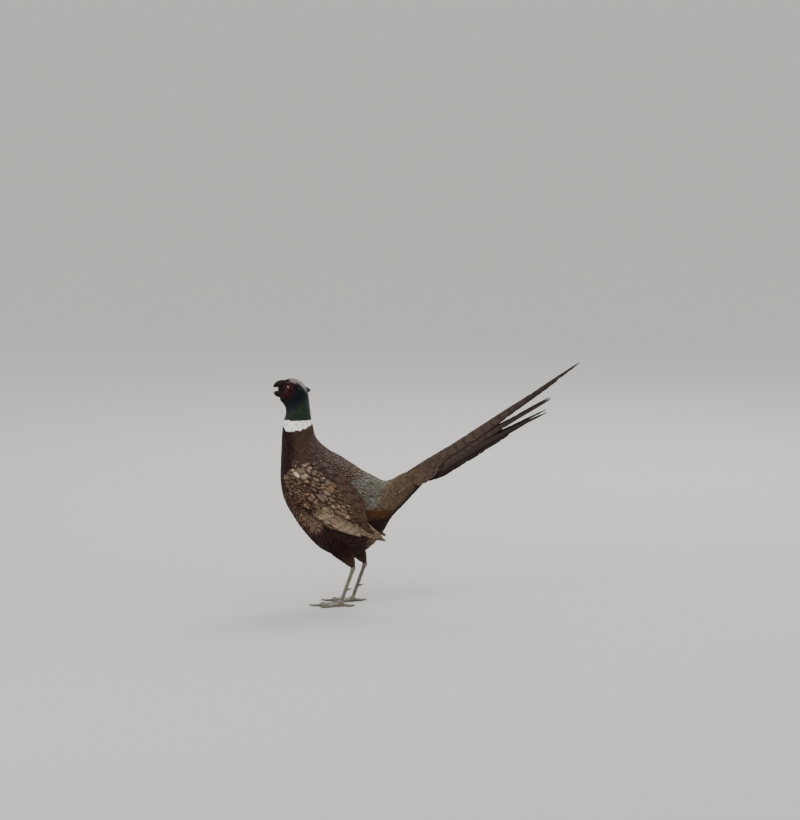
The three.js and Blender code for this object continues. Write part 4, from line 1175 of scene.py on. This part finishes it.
def thigh_surface(side):
    """A place on the thigh by section and angle round it, as a function."""
    ankle_x = FOOT_X[side] + ANKLE_BEHIND_FOOT
    rows = np.array(THIGH_SECTIONS, float)
    middle = spline_table(np.stack([ankle_x + rows[:, 0], side * rows[:, 1], rows[:, 2]], -1), 81)
    girth = spline_table(np.stack([np.arange(5) * 10, rows[:, 3], rows[:, 4]], -1), 81)[:, 1:]
    axis = np.linspace(0, 4, 81)

    def surface(a, b):
        centre = np.stack([np.interp(a, axis, middle[:, i]) for i in range(3)], -1)
        across, up = (np.interp(a, axis, girth[:, i]) for i in range(2))
        round_ = np.stack([0 * a, across * np.sin(b), 0 * a], -1)
        return centre + round_ + np.array(THIGH_LEAN) * (up * np.cos(b))[..., None]

    return surface


class PHEASANT_OT_thighs(bpy.types.Operator):
    """Loose feathers down each thigh to the ankle"""

    bl_idname = "pheasant.thighs"
    bl_label = "Thigh feathers"

    def execute(self, context):
        for side, label in SIDES:
            generator = np.random.default_rng(sizes().seed + side)
            surface = thigh_surface(side)
            columns, rows = 30, 22
            angles = 2 * np.pi * np.arange(columns) / columns
            b, a = (g.ravel() for g in np.meshgrid(angles, np.linspace(0.1, 3.75, rows)))
            a = a + generator.uniform(-0.08, 0.08, a.shape)
            b = b + generator.uniform(-0.1, 0.1, b.shape)
            random = generator.uniform(0, 1, a.shape)
            length = mix(17.0, 6.5, a / 4) * (0.9 + 0.2 * random)
            width = mix(9.0, 3.2, a / 4)
            paler = smoothstep(a, 0.4, 2.6) * (0.5 + 0.5 * random)
            main = mix(PLUME["wine"], PLUME["bark"], paler[:, None])
            amounts = np.tile((0.25, 0.2, 0.0, 0.0), (len(a), 1))
            looks = [main, main * 0.6, main * 1.6, amounts]
            plumes = Plumes()
            points = self.rings(surface, a, b, length, width)
            unwrap = np.stack([np.mod(b, 2 * np.pi) / (2 * np.pi) * 0.9 + 0.05, a / 4 * 0.9 + 0.05], -1)
            plumes.add(*points, unwrap, looks)
            finish_piece(plumes.mesh(f"coat_thigh_{label}"), coat_material())
        return {"FINISHED"}

    @staticmethod
    def rings(surface, a, b, length, width):
        shares, halves = outline(LOOSE_FEATHER)
        pace = np.linalg.norm(surface(a + 0.05, b) - surface(a - 0.05, b), axis=-1) / 0.1
        a_at = np.minimum(a[:, None] + shares * (length / pace)[:, None], 4.0)
        b_at = b[:, None] + 0 * shares
        out = unit(surface(a_at, b_at) - surface(a_at, b_at + np.pi))
        ahead = unit(surface(np.minimum(a_at + 0.05, 4.0), b_at) - surface(a_at - 0.05, b_at))
        height = -2.4 + 2.4 * shares
        here = surface(a_at, b_at)
        slip = (a[:, None] + shares * (length / pace)[:, None] - a_at) * pace[:, None]
        centre = here + out * height[..., None] + ahead * slip[..., None]
        side = np.cross(out, ahead)
        half = (width / 2)[:, None] * halves
        edge = side * half[..., None]
        rings = vane(centre, 0.12 * out, edge, edge, out * (0.2 * half)[..., None])
        return rings[:, :-1], centre[:, -1], shares[:-1]


def blade(stations, blunt, ragged, generator, slim=0.0):
    """Half widths of a long feather along it: quill, web and tip, with a few splits in the web."""
    share = np.linspace(0, 1, stations)
    rise = smoothstep(share, 0, 0.14)
    tip = np.clip((1 - share) / (1 - blunt), 0, 1)
    half = (0.16 + 0.84 * rise) * np.sqrt(np.clip(tip * (2 - tip), 0, 1))
    half = half * (1 - slim * smoothstep(share, 0.3, 0.82))
    splits = generator.uniform(0, 1, stations) < ragged
    return share, np.maximum(half * (1 - 0.2 * splits), 0.01)


def blade_faces(upper, under):
    """Quads and triangles of a closed blade from its upper and under rows, which share their edges."""
    quads, threes = [], []
    for k in range(len(upper) - 1):
        for j in range(upper.shape[1] - 1):
            quads.append((upper[k, j], upper[k, j + 1], upper[k + 1, j + 1], upper[k + 1, j]))
            quads.append((under[k, j], under[k + 1, j], under[k + 1, j + 1], under[k, j + 1]))
    for k, at_tip in ((0, False), (-1, True)):
        for j in range(upper.shape[1] - 1):
            corners = [upper[k, j], upper[k, j + 1], under[k, j + 1], under[k, j]]
            corners = list(dict.fromkeys(corners if at_tip else corners[::-1]))
            if len(corners) == 4:
                quads.append(tuple(corners))
            elif len(corners) == 3:
                threes.append(tuple(corners))
    return [np.array(faces) for faces in (quads, threes) if faces]


def long_feather(plumes, axes, half, thick, share, root_uv, tint, columns, phase=0.0, fade=0.0):
    """One long feather as a closed blade: phase shifts its bars, fade darkens it towards its tip."""
    centre, out, side_vector = axes
    stations = len(share)
    across = np.linspace(-1, 1, columns + 1)
    lift = (1 - across**2) * 0.16
    top = centre[:, None] + side_vector[:, None] * (across[None, :, None] * half[:, None, None])
    top = top + out[:, None] * (lift[None, :, None] * half[:, None, None])
    under = top - out[:, None] * (thick * (1 - 0.9 * np.abs(across)))[None, :, None]
    points = np.concatenate([top.reshape(-1, 3), under[:, 1:-1].reshape(-1, 3)])
    upper_at = np.arange(stations * (columns + 1)).reshape(stations, -1)
    under_at = upper_at.copy()
    under_at[:, 1:-1] = upper_at.size + np.arange(stations * (columns - 1)).reshape(stations, -1)
    outward = (np.cross(side_vector, np.gradient(centre, axis=0)) * out).sum() > 0
    turn = 1 if outward else -1
    faces = blade_faces(plumes.count + upper_at, plumes.count + under_at)
    plumes.faces += [kind[:, ::turn] for kind in faces]
    uv_top = np.stack(np.broadcast_arrays((across[None] + 1) / 2, share[:, None]), -1)
    uv = np.concatenate([uv_top.reshape(-1, 2), uv_top[:, 1:-1].reshape(-1, 2)])
    plumes.points.append(points)
    plumes.plume_uv.append(uv)
    plumes.root_uv.append(np.asarray(root_uv) + (uv - 0.5) * BAKE_PATCH)
    number = len(points)
    tint = tint * (1 - fade * smoothstep(uv[:, 1:], 0.3, 0.85))
    for store, value in zip(plumes.looks, (tint, PLUME["black"], tint, np.array((0, 0, 0, phase)))):
        store.append(np.broadcast_to(value, (number, value.shape[-1])))
    plumes.count += number


# Rows of the wing's coverts: first root along the wing, spacing, rows, feathers in a row, their span
# across the wing, a feather's length and half width, and its height at root and tip.
WING_TIERS = (
    (-8, 5.6, 10, 17, (0.03, 0.97), 18, 4.6, (-2.2, 0.6)),
    (46, 8.5, 4, 17, (0.03, 0.95), 29, 5.2, (-2.0, 1.0)),
    (80, 11.0, 3, 15, (0.04, 0.90), 44, 5.8, (-1.8, 1.3)),
    (0, 10.0, 7, 7, (0.50, 0.97), 30, 7.2, (-1.4, 2.2)),
    (64, 10.0, 8, 8, (0.44, 0.97), 34, 6.6, (0.2, 3.4)),
)
# Long feathers of the wing: how many, first root along it and step, length and step, first and last
# place across, half width, height at root and step, tip's rise, first and last colour.
FLIGHT = {
    "secondaries": (12, 92, 1.0, 106, -3.6, (0.05, 0.78), 6.0, -0.4, 0.0, 0.3, ("cream", "bark")),
    "tertials": (7, 70, 6.0, 94, 3.0, (1.0, 0.52), 8.0, 2.2, -0.35, 0.6, ("umber", "brown")),
    "primaries": (7, 132, 3.4, 117, -5.6, (0.18, 0.66), 7.0, -3.0, 0.5, 0.0, ("buff", "tan")),
}
# Their bars, how strong these are, and the colours of web, bars and fringe.
FLIGHT_WEBS = {
    "secondaries": (6.0, 0.5, "bark", "brown", "sand"),
    "tertials": (4.0, 0.7, "brown", "wine", "pink"),
    "primaries": (7.0, 0.5, "buff", "bark", "buff"),
}


def wing_across(u, place):
    return mix(wing_foot(u), wing_top(u), place)


class PHEASANT_OT_wings(bpy.types.Operator):
    """Coverts, scapulars, secondaries, tertials and the tips of the primaries on each folded wing"""

    bl_idname = "pheasant.wings"
    bl_label = "Wings"

    def execute(self, context):
        for side, label in SIDES:
            generator = np.random.default_rng(sizes().seed * 7 + side)
            self.coverts(side, label, generator)
            for kind in FLIGHT:
                self.flight(side, label, kind, generator)
        return {"FINISHED"}

    def coverts(self, side, label, generator):
        plumes = Plumes()
        surface = lambda u, p: wing_point(side, u, wing_across(u, p))
        for first, step, rows, count, span, length, half, (sink, rise) in WING_TIERS:
            for row in range(rows):
                place = np.linspace(*span, count) + (0.5 * (row % 2) - 0.25) * (span[1] - span[0]) / count
                place = place + generator.uniform(-0.01, 0.01, count)
                u = first + row * step + generator.uniform(-2, 2, count)
                long = length * generator.uniform(0.88, 1.1, count)
                tip = u + 0.75 * long
                looks = patched(WING_PATCHES, tip + generator.uniform(-6, 6, count), wing_across(tip, place))
                wander = blotches(surface(tip, place), 17.0)
                looks = varied(looks, generator, wander, 0.35, 0.5)
                unwrap = np.stack([0.05 + 0.9 * np.clip(place, 0, 1), 0.03 + 0.94 * (u + 20) / 280], -1)
                lift = rise + generator.uniform(-0.25, 0.25, count)
                wide = 2 * half * generator.uniform(0.9, 1.1, count)
                turn = 0.12 * generator.uniform(-1, 1, count)
                places, measures, heights = (u, place), (long, wide), (np.full(count, -sink), lift)
                shape = SMALL_FEATHER
                lay(plumes, surface, places, measures, heights, shape, looks, unwrap, generator, 0.14, turn)
        finish_piece(plumes.mesh(f"wing_coverts_{label}"), coat_material())

    def flight(self, side, label, kind, generator):
        plumes = Plumes()
        count, first, step, length, shorter, span, half, height, higher, rise, (low, high) = FLIGHT[kind]
        for k in range(count):
            place = mix(*span, k / (count - 1))
            share, web = blade(30, 0.74, 0.12, generator)
            root, long = first + step * k, length + shorter * k
            u = root + long * share
            widest = wing_top(root + 0.3 * long) - wing_foot(root + 0.3 * long)
            room = np.clip((wing_top(u) - wing_foot(u)) / widest, 0.72, 1)
            v = wing_across(u, place)
            here = wing_point(side, u, v)
            ahead = unit(np.gradient(here, axis=0))
            round_ = wing_point(side, u, v + 0.5) - wing_point(side, u, v - 0.5)
            out = unit(np.cross(ahead, round_))
            out *= np.sign(out[:, 1:2] * side)
            across = unit(np.cross(out, ahead)) * side
            tilt = unit(across - 0.16 * out)
            centre = here + out * (height + higher * k + rise * share + 0.25)[:, None]
            tint = mix(PLUME[low], PLUME[high], (k / (count - 1)) ** 0.5)
            tint = tint * (1 + 0.18 * generator.uniform(-1, 1))
            root_uv = (0.1 + 0.07 * k, 0.5)
            phase = generator.uniform(0, 1)
            axes = centre, out, tilt * side
            long_feather(plumes, axes, half * room * web, 0.35, share, root_uv, tint, 4, phase)
        bars, amount, *webs = FLIGHT_WEBS[kind]
        material = long_feather_material(f"{kind}_web", bars, amount, *(PLUME[colour] for colour in webs))
        finish_piece(plumes.mesh(f"wing_{kind}_{label}"), material)


# Each pair of tail feathers: tip along the tail, tip, root and middle down the roof, half width, and
# the share of it that its taper takes.
RECTRICES = (
    (456, 2.2, 7, 12.5, 12, 0.62),
    (398, 8, 9, 15, 11.5, 0.62),
    (366, 35, 11, 22, 11.5, 0.66),
    (343, 56, 13, 29.5, 11.5, 0.68),
    (300, 50, 15, 33.5, 11, 0.5),
    (252, 49, 17, 37.5, 10.5, 0.25),
    (205, 46, 19, 39.5, 9.5, 0),
    (160, 44, 21, 41, 8.5, 0),
    (122, 43, 23, 42, 7.5, 0),
)
# Darker lower pairs of the tail: partly the outer feathers' own darker colour, partly painted shade along the
# tail's lower edge.
TAIL_TONES_AND_SHADE = (1.0, 0.95, 0.85, 0.55, 0.25)
TAIL_START = 27
TAIL_SPREAD = 95
TAIL_FADE = 0.55
# Rows of the tail's coverts: start along the tail, feathers in a row, nearest and farthest tip, span
# down the roof, depth under its face, half width, colour.
TAIL_COVERTS = (
    (30, 15, 76, 132, (2, 41), -1.6, 4.6, "dusk"),
    (24, 15, 60, 108, (2, 42), -2.6, 4.8, "dusk"),
    (20, 16, 42, 86, (2, 43), -3.8, 4.6, "bark"),
    (28, 16, 150, 70, (26, 43), 11.4, 4.2, "wine"),
    (24, 14, 110, 50, (24, 42), 12.6, 4.2, "wine"),
)


def tail_axes(side, s, q, centre):
    """Centre line, outward and across directions of a feather that lies in the tail's roof."""
    flat = 0 * s
    across = unit(tail_point(side, s, q + 1, flat) - tail_point(side, s, q - 1, flat))
    out = unit(np.cross(across, unit(np.gradient(centre, axis=0))))
    outward = tail_point(side, s, q, flat - 1) - tail_point(side, s, q, flat)
    return centre, out * np.sign((outward * out).sum(-1, keepdims=True)), across


class PHEASANT_OT_tail(bpy.types.Operator):
    """The long barred tail feathers with their coverts"""

    bl_idname = "pheasant.tail"
    bl_label = "Tail"

    def execute(self, context):
        generator = np.random.default_rng(sizes().seed * 13)
        plumes = Plumes()
        for side, _ in SIDES:
            for k, (tip, tip_down, root_down, mid_down, half, slim) in enumerate(RECTRICES):
                share, web = blade(72 - 4 * k, 0.72, 0.16, generator, slim)
                s = mix(TAIL_START, tip, share)
                spread = mix(root_down, mid_down, smoothstep(s, TAIL_START, TAIL_SPREAD))
                late = np.clip((s - TAIL_SPREAD) / (tip - TAIL_SPREAD), 0, 1) ** 1.4
                q = np.where(s < TAIL_SPREAD, spread, mix(mid_down, tip_down, late))
                width = half * web
                q = np.maximum(q, width + 0.6)
                sway = 0.5 * np.sin(share * 5 + k)
                axes = tail_axes(side, s, q, tail_point(side, s, q, 1.2 * k + sway * 0.4))
                tint = np.array(colours().tail) * (1 + 0.1 * generator.uniform(-1, 1)) * TAIL_TONES_AND_SHADE[min(k, 4)]
                root_uv = (0.5 + side * (0.03 + 0.045 * k), 0.9)
                long_feather(plumes, axes, width, 0.5, share, root_uv, tint, 8, fade=TAIL_FADE)
        material = long_feather_material(
            "tail_web", 19.0, 0.7, tuple(colours().tail), tuple(colours().tail_bar), (0.034, 0.021, 0.017)
        )
        finish_piece(plumes.mesh("tail_feathers"), material, ("tail",))
        self.coverts(generator)
        return {"FINISHED"}

    def coverts(self, generator):
        plumes = Plumes()
        for side, _ in SIDES:
            for start, count, low, high, downs, layer, half, colour in TAIL_COVERTS:
                for k in range(count):
                    share, web = blade(18, 0.5, 0.1, generator)
                    down = mix(*downs, (k + 0.5) / count)
                    tip = mix(high, low, k / count) + generator.uniform(-6, 6)
                    s = mix(start, tip, share)
                    q = mix(0.45 * down + 2, down, smoothstep(share, 0, 0.7))
                    q = np.maximum(q, half * web + 0.4)
                    depth = layer + 0.1 * k * np.sign(layer) + 0 * s
                    axes = tail_axes(side, s, q, tail_point(side, s, q, depth))
                    tint = PLUME[colour] * (1 + 0.15 * generator.uniform(-1, 1))
                    root_uv = (0.5 + side * 0.02 * (k + 1), 0.8)
                    long_feather(plumes, axes, half * web, 0.3, share, root_uv, tint, 4)
        dusk, maroon = PLUME["dusk"], PLUME["maroon"]
        material = long_feather_material("tail_covert_web", 4.0, 0.3, dusk, maroon, dusk)
        finish_piece(plumes.mesh("tail_coverts"), material)


class PHEASANT_OT_head(bpy.types.Operator):
    """Eyes, red wattles, ear tufts and the open bill"""

    bl_idname = "pheasant.head"
    bl_label = "Head"

    def execute(self, context):
        for side, label in SIDES:
            self.eye(side, label)
            wattle = refined((f"wattle_{label}",), f"wattle_skin_{label}", 0.0004, 3, 0.0005)
            finish_piece(wattle, wattle_material(), (f"wattle_{label}",))
            self.ear_tuft(side, label)
        upper = refined(("bill_upper",), "upper_bill", 0.0004, 5)
        push(upper, 0.0004)
        seat(upper)
        lower = refined(("bill_lower",), "lower_bill", 0.0004, 4)
        push(lower, 0.0003)
        seat(lower)
        # Both tones are far darker than the bill's own pale horn: the horn's grain with painted shade over
        # it.
        horn = horn_material("bill_horn", (0.009, 0.0045, 0.0035), (0.003, 0.002, 0.0015), 0.42, 0.1)
        deselect()
        bpy.ops.mesh.primitive_uv_sphere_add(segments=40, ring_count=24, radius=1.0, location=(0, 0, 0))
        gape = context.active_object
        gape.name = "gape"
        reach, across, high = GAPE_SIZE
        gape.data.transform(Matrix.Diagonal((reach * MM, across * MM, high * MM, 1.0)))
        gape.data.transform(Matrix.Rotation(HEAD_TURN, 4, "Z"))
        gape.data.transform(Matrix.Translation(to_frame(turned_head(GAPE_CENTRE))))
        # The gape's flesh is dark red darkened further: painted shade inside the open bill over the flesh's
        # own colour.
        flesh = horn_material("gape_skin", (0.020, 0.006, 0.005), (0.008, 0.003, 0.002), 0.6, 0.1)
        finish_piece(gape, flesh)
        finish_piece(upper, horn, ("bill_upper",))
        finish_piece(lower, horn, ("bill_lower",))
        return {"FINISHED"}

    def eye(self, side, label):
        centre = turned_head((EYE_CENTRE[0], side * EYE_CENTRE[1], EYE_CENTRE[2]))
        deselect()
        size = EYE_RADIUS * MM
        bpy.ops.mesh.primitive_uv_sphere_add(segments=48, ring_count=32, radius=size, location=(0, 0, 0))
        ball = bpy.context.active_object
        ball.name = f"eyeball_{label}"
        co = coordinates(ball)
        polar = np.arccos(np.clip(co[:, 2] / np.linalg.norm(co, axis=1), -1, 1)) / np.pi
        round_ = np.arctan2(co[:, 1], co[:, 0]) / (2 * np.pi) + 0.5
        loops = np.zeros(len(ball.data.loops), np.int32)
        ball.data.loops.foreach_get("vertex_index", loops)
        while ball.data.uv_layers:
            ball.data.uv_layers.remove(ball.data.uv_layers[0])
        uv = np.stack([round_, polar], -1)
        ball.data.uv_layers.new(name="EyeUV").data.foreach_set("uv", uv[loops].astype(np.float32).ravel())
        gaze = turned_head((NECK_AXIS_X - 0.12, side, 0.05)) - (NECK_AXIS_X, 0, 0)
        pole = Vector(gaze).normalized()
        spin = Vector((0, 0, 1)).rotation_difference(pole).to_matrix().to_4x4()
        ball.data.transform(spin)
        ball.data.transform(Matrix.Translation(to_frame(centre)))
        material = bpy.data.materials.get("eyeball") or eye_material()
        finish_piece(ball, material, (f"eye_{label}",))

    def ear_tuft(self, side, label):
        generator = np.random.default_rng(sizes().seed * 3 + side)
        plumes = Plumes()
        for k in range(TUFT_PLUMES):
            share, web = blade(9, 0.35, 0.0, generator)
            start = np.array(TUFT_ROOT) + generator.uniform(-1, 1, 3) * (2.5, 1.2, 2.8)
            end = np.array(TUFT_TIP) + generator.uniform(-1, 1, 3) * (3.2, 1.2, 3.0)
            middle = mix(start, end, 0.5) + (0, 0.8, 2.0)
            at = share[:, None]
            path = (1 - at) ** 2 * start + 2 * at * (1 - at) * middle + at**2 * end
            path = turned_head(path * (1, side, 1))
            ahead = unit(np.gradient(path, axis=0))
            out = unit(np.cross(ahead, np.array((0.0, 0.0, 1.0)) + 0.4 * generator.uniform(-1, 1, 3)))
            across = np.cross(out, ahead)
            tint = mix(PLUME["green"], PLUME["blue"], generator.uniform(0, 1))
            root_uv = (0.3 + 0.01 * k, 0.3)
            long_feather(plumes, (path, out, across), 1.5 * web, 0.2, share, root_uv, tint, 2)
        piece = plumes.mesh(f"ear_tuft_plumes_{label}")
        webs = (PLUME[colour] for colour in ("green", "black", "blue"))
        material = long_feather_material("ear_tuft_web", 3.0, 0.0, *webs, 0.42)
        finish_piece(piece, material, (f"ear_tuft_{label}",))


class PHEASANT_OT_legs(bpy.types.Operator):
    """Scaled shanks and toes, claws and spurs"""

    bl_idname = "pheasant.legs"
    bl_label = "Legs"

    def execute(self, context):
        scales = leg_material()
        horn = horn_material("claw_horn", (0.10, 0.085, 0.07), (0.035, 0.03, 0.026), 0.4)
        for _, label in SIDES:
            leg = refined((f"shank_{label}", f"foot_{label}"), f"leg_{label}", 0.0007, 5, 0.0004)
            finish_piece(leg, scales, (f"shank_{label}", f"foot_{label}"))
            for part in ["spur"] + [f"claw_{toe}" for toe in ("inner", "middle", "outer", "hind")]:
                node = f"{part}_{label}"
                claw = refined((node,), f"{part}_horn_{label}", 0.00035, 4)
                finish_piece(claw, horn, (node,))
        return {"FINISHED"}


# Soft lights: name, place from the bird's middle in metres, watts, and size in metres.
LIGHTS = (
    ("key", (-1.6, -2.4, 2.9), 80, 1.8),
    ("fill", (2.6, -2.2, 1.6), 24, 2.2),
    ("rim", (0.9, 2.6, 2.4), 95, 1.6),
)
WORLD_STRENGTH = 1.5


class PHEASANT_OT_stage(bpy.types.Operator):
    """Pale floor, soft lights and the camera at the photograph's angle"""

    bl_idname = "pheasant.stage"
    bl_label = "Stage"

    def execute(self, context):
        deselect()
        bpy.ops.mesh.primitive_circle_add(vertices=96, radius=60, fill_type="NGON", location=(0, 0, 0))
        floor = context.active_object
        floor.name = "studio_floor"
        material, w, shader = new_material("studio_floor", 0.9, 0.2)
        soft = w.ramp(w.noise(w.place(), 60.0, 2.0), 0.3, 0.7, 0.985, 1.0)
        w.feed(shader, **{"Base Color": w.blend(1.0, rgba(colours().floor), w.grey(soft), "MULTIPLY")})
        floor.data.materials.append(material)
        world = bpy.data.worlds.new("studio")
        context.scene.world = world
        world.use_nodes = True
        world.node_tree.nodes["Background"].inputs[0].default_value = (1.0, 0.985, 0.96, 1)
        world.node_tree.nodes["Background"].inputs[1].default_value = WORLD_STRENGTH
        middle = Vector(to_frame((60, 0, 260)))
        for name, place, power, size in LIGHTS:
            light = bpy.data.lights.new(name, "AREA")
            light.energy = power
            light.size = size
            lamp = bpy.data.objects.new(name, light)
            lamp.location = middle + Vector(place)
            lamp.rotation_euler = (middle - lamp.location).to_track_quat("-Z", "Y").to_euler()
            context.collection.objects.link(lamp)
        self.camera(context)
        return {"FINISHED"}

    def camera(self, context):
        column = (PHOTO_WIDTH / 2 - PHOTO_BODY_COLUMN) * PHOTO_MM_PER_PIXEL
        height = (PHOTO_GROUND_ROW - PHOTO_HEIGHT / 2) * PHOTO_MM_PER_PIXEL
        target = Vector(to_frame((column, 0, height)))
        lens = bpy.data.cameras.new("photo_view")
        lens.sensor_fit = "HORIZONTAL"
        lens.sensor_width = SENSOR_WIDTH
        lens.lens = SENSOR_WIDTH * CAMERA_DISTANCE / (PHOTO_WIDTH * PHOTO_MM_PER_PIXEL * MM)
        lens.clip_end = 200
        camera = bpy.data.objects.new("photo_view", lens)
        away = Vector((0, -math.cos(CAMERA_LIFT), math.sin(CAMERA_LIFT)))
        camera.location = target + away * CAMERA_DISTANCE
        camera.rotation_euler = (target - camera.location).to_track_quat("-Z", "Y").to_euler()
        context.collection.objects.link(camera)
        context.scene.camera = camera


class PHEASANT_PT_panel(bpy.types.Panel):
    """Makes the pheasant's pieces one by one"""

    bl_idname = "PHEASANT_PT_panel"
    bl_label = "Pheasant"
    bl_space_type = "VIEW_3D"
    bl_region_type = "UI"
    bl_category = "Pheasant"

    def draw(self, context):
        for group in (context.scene.pheasant_sizes, context.scene.pheasant_colours):
            for name in group.__annotations__:
                self.layout.prop(group, name)
        for operator in OPERATORS:
            self.layout.operator(operator.bl_idname)


OPERATORS = (
    PHEASANT_OT_skin,
    PHEASANT_OT_coat,
    PHEASANT_OT_thighs,
    PHEASANT_OT_wings,
    PHEASANT_OT_tail,
    PHEASANT_OT_head,
    PHEASANT_OT_legs,
    PHEASANT_OT_stage,
)
CLASSES = (PheasantSizes, PheasantColours, *OPERATORS, PHEASANT_PT_panel)


def register():
    for entry in CLASSES:
        bpy.utils.register_class(entry)
    bpy.types.Scene.pheasant_sizes = bpy.props.PointerProperty(type=PheasantSizes)
    bpy.types.Scene.pheasant_colours = bpy.props.PointerProperty(type=PheasantColours)


def unregister():
    del bpy.types.Scene.pheasant_sizes
    del bpy.types.Scene.pheasant_colours
    for entry in reversed(CLASSES):
        bpy.utils.unregister_class(entry)


def main():
    register()
    bpy.ops.pheasant.skin()
    bpy.ops.pheasant.coat()
    bpy.ops.pheasant.thighs()
    bpy.ops.pheasant.wings()
    bpy.ops.pheasant.tail()
    bpy.ops.pheasant.head()
    bpy.ops.pheasant.legs()
    bpy.ops.pheasant.stage()
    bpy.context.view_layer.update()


if __name__ == "__main__":
    main()
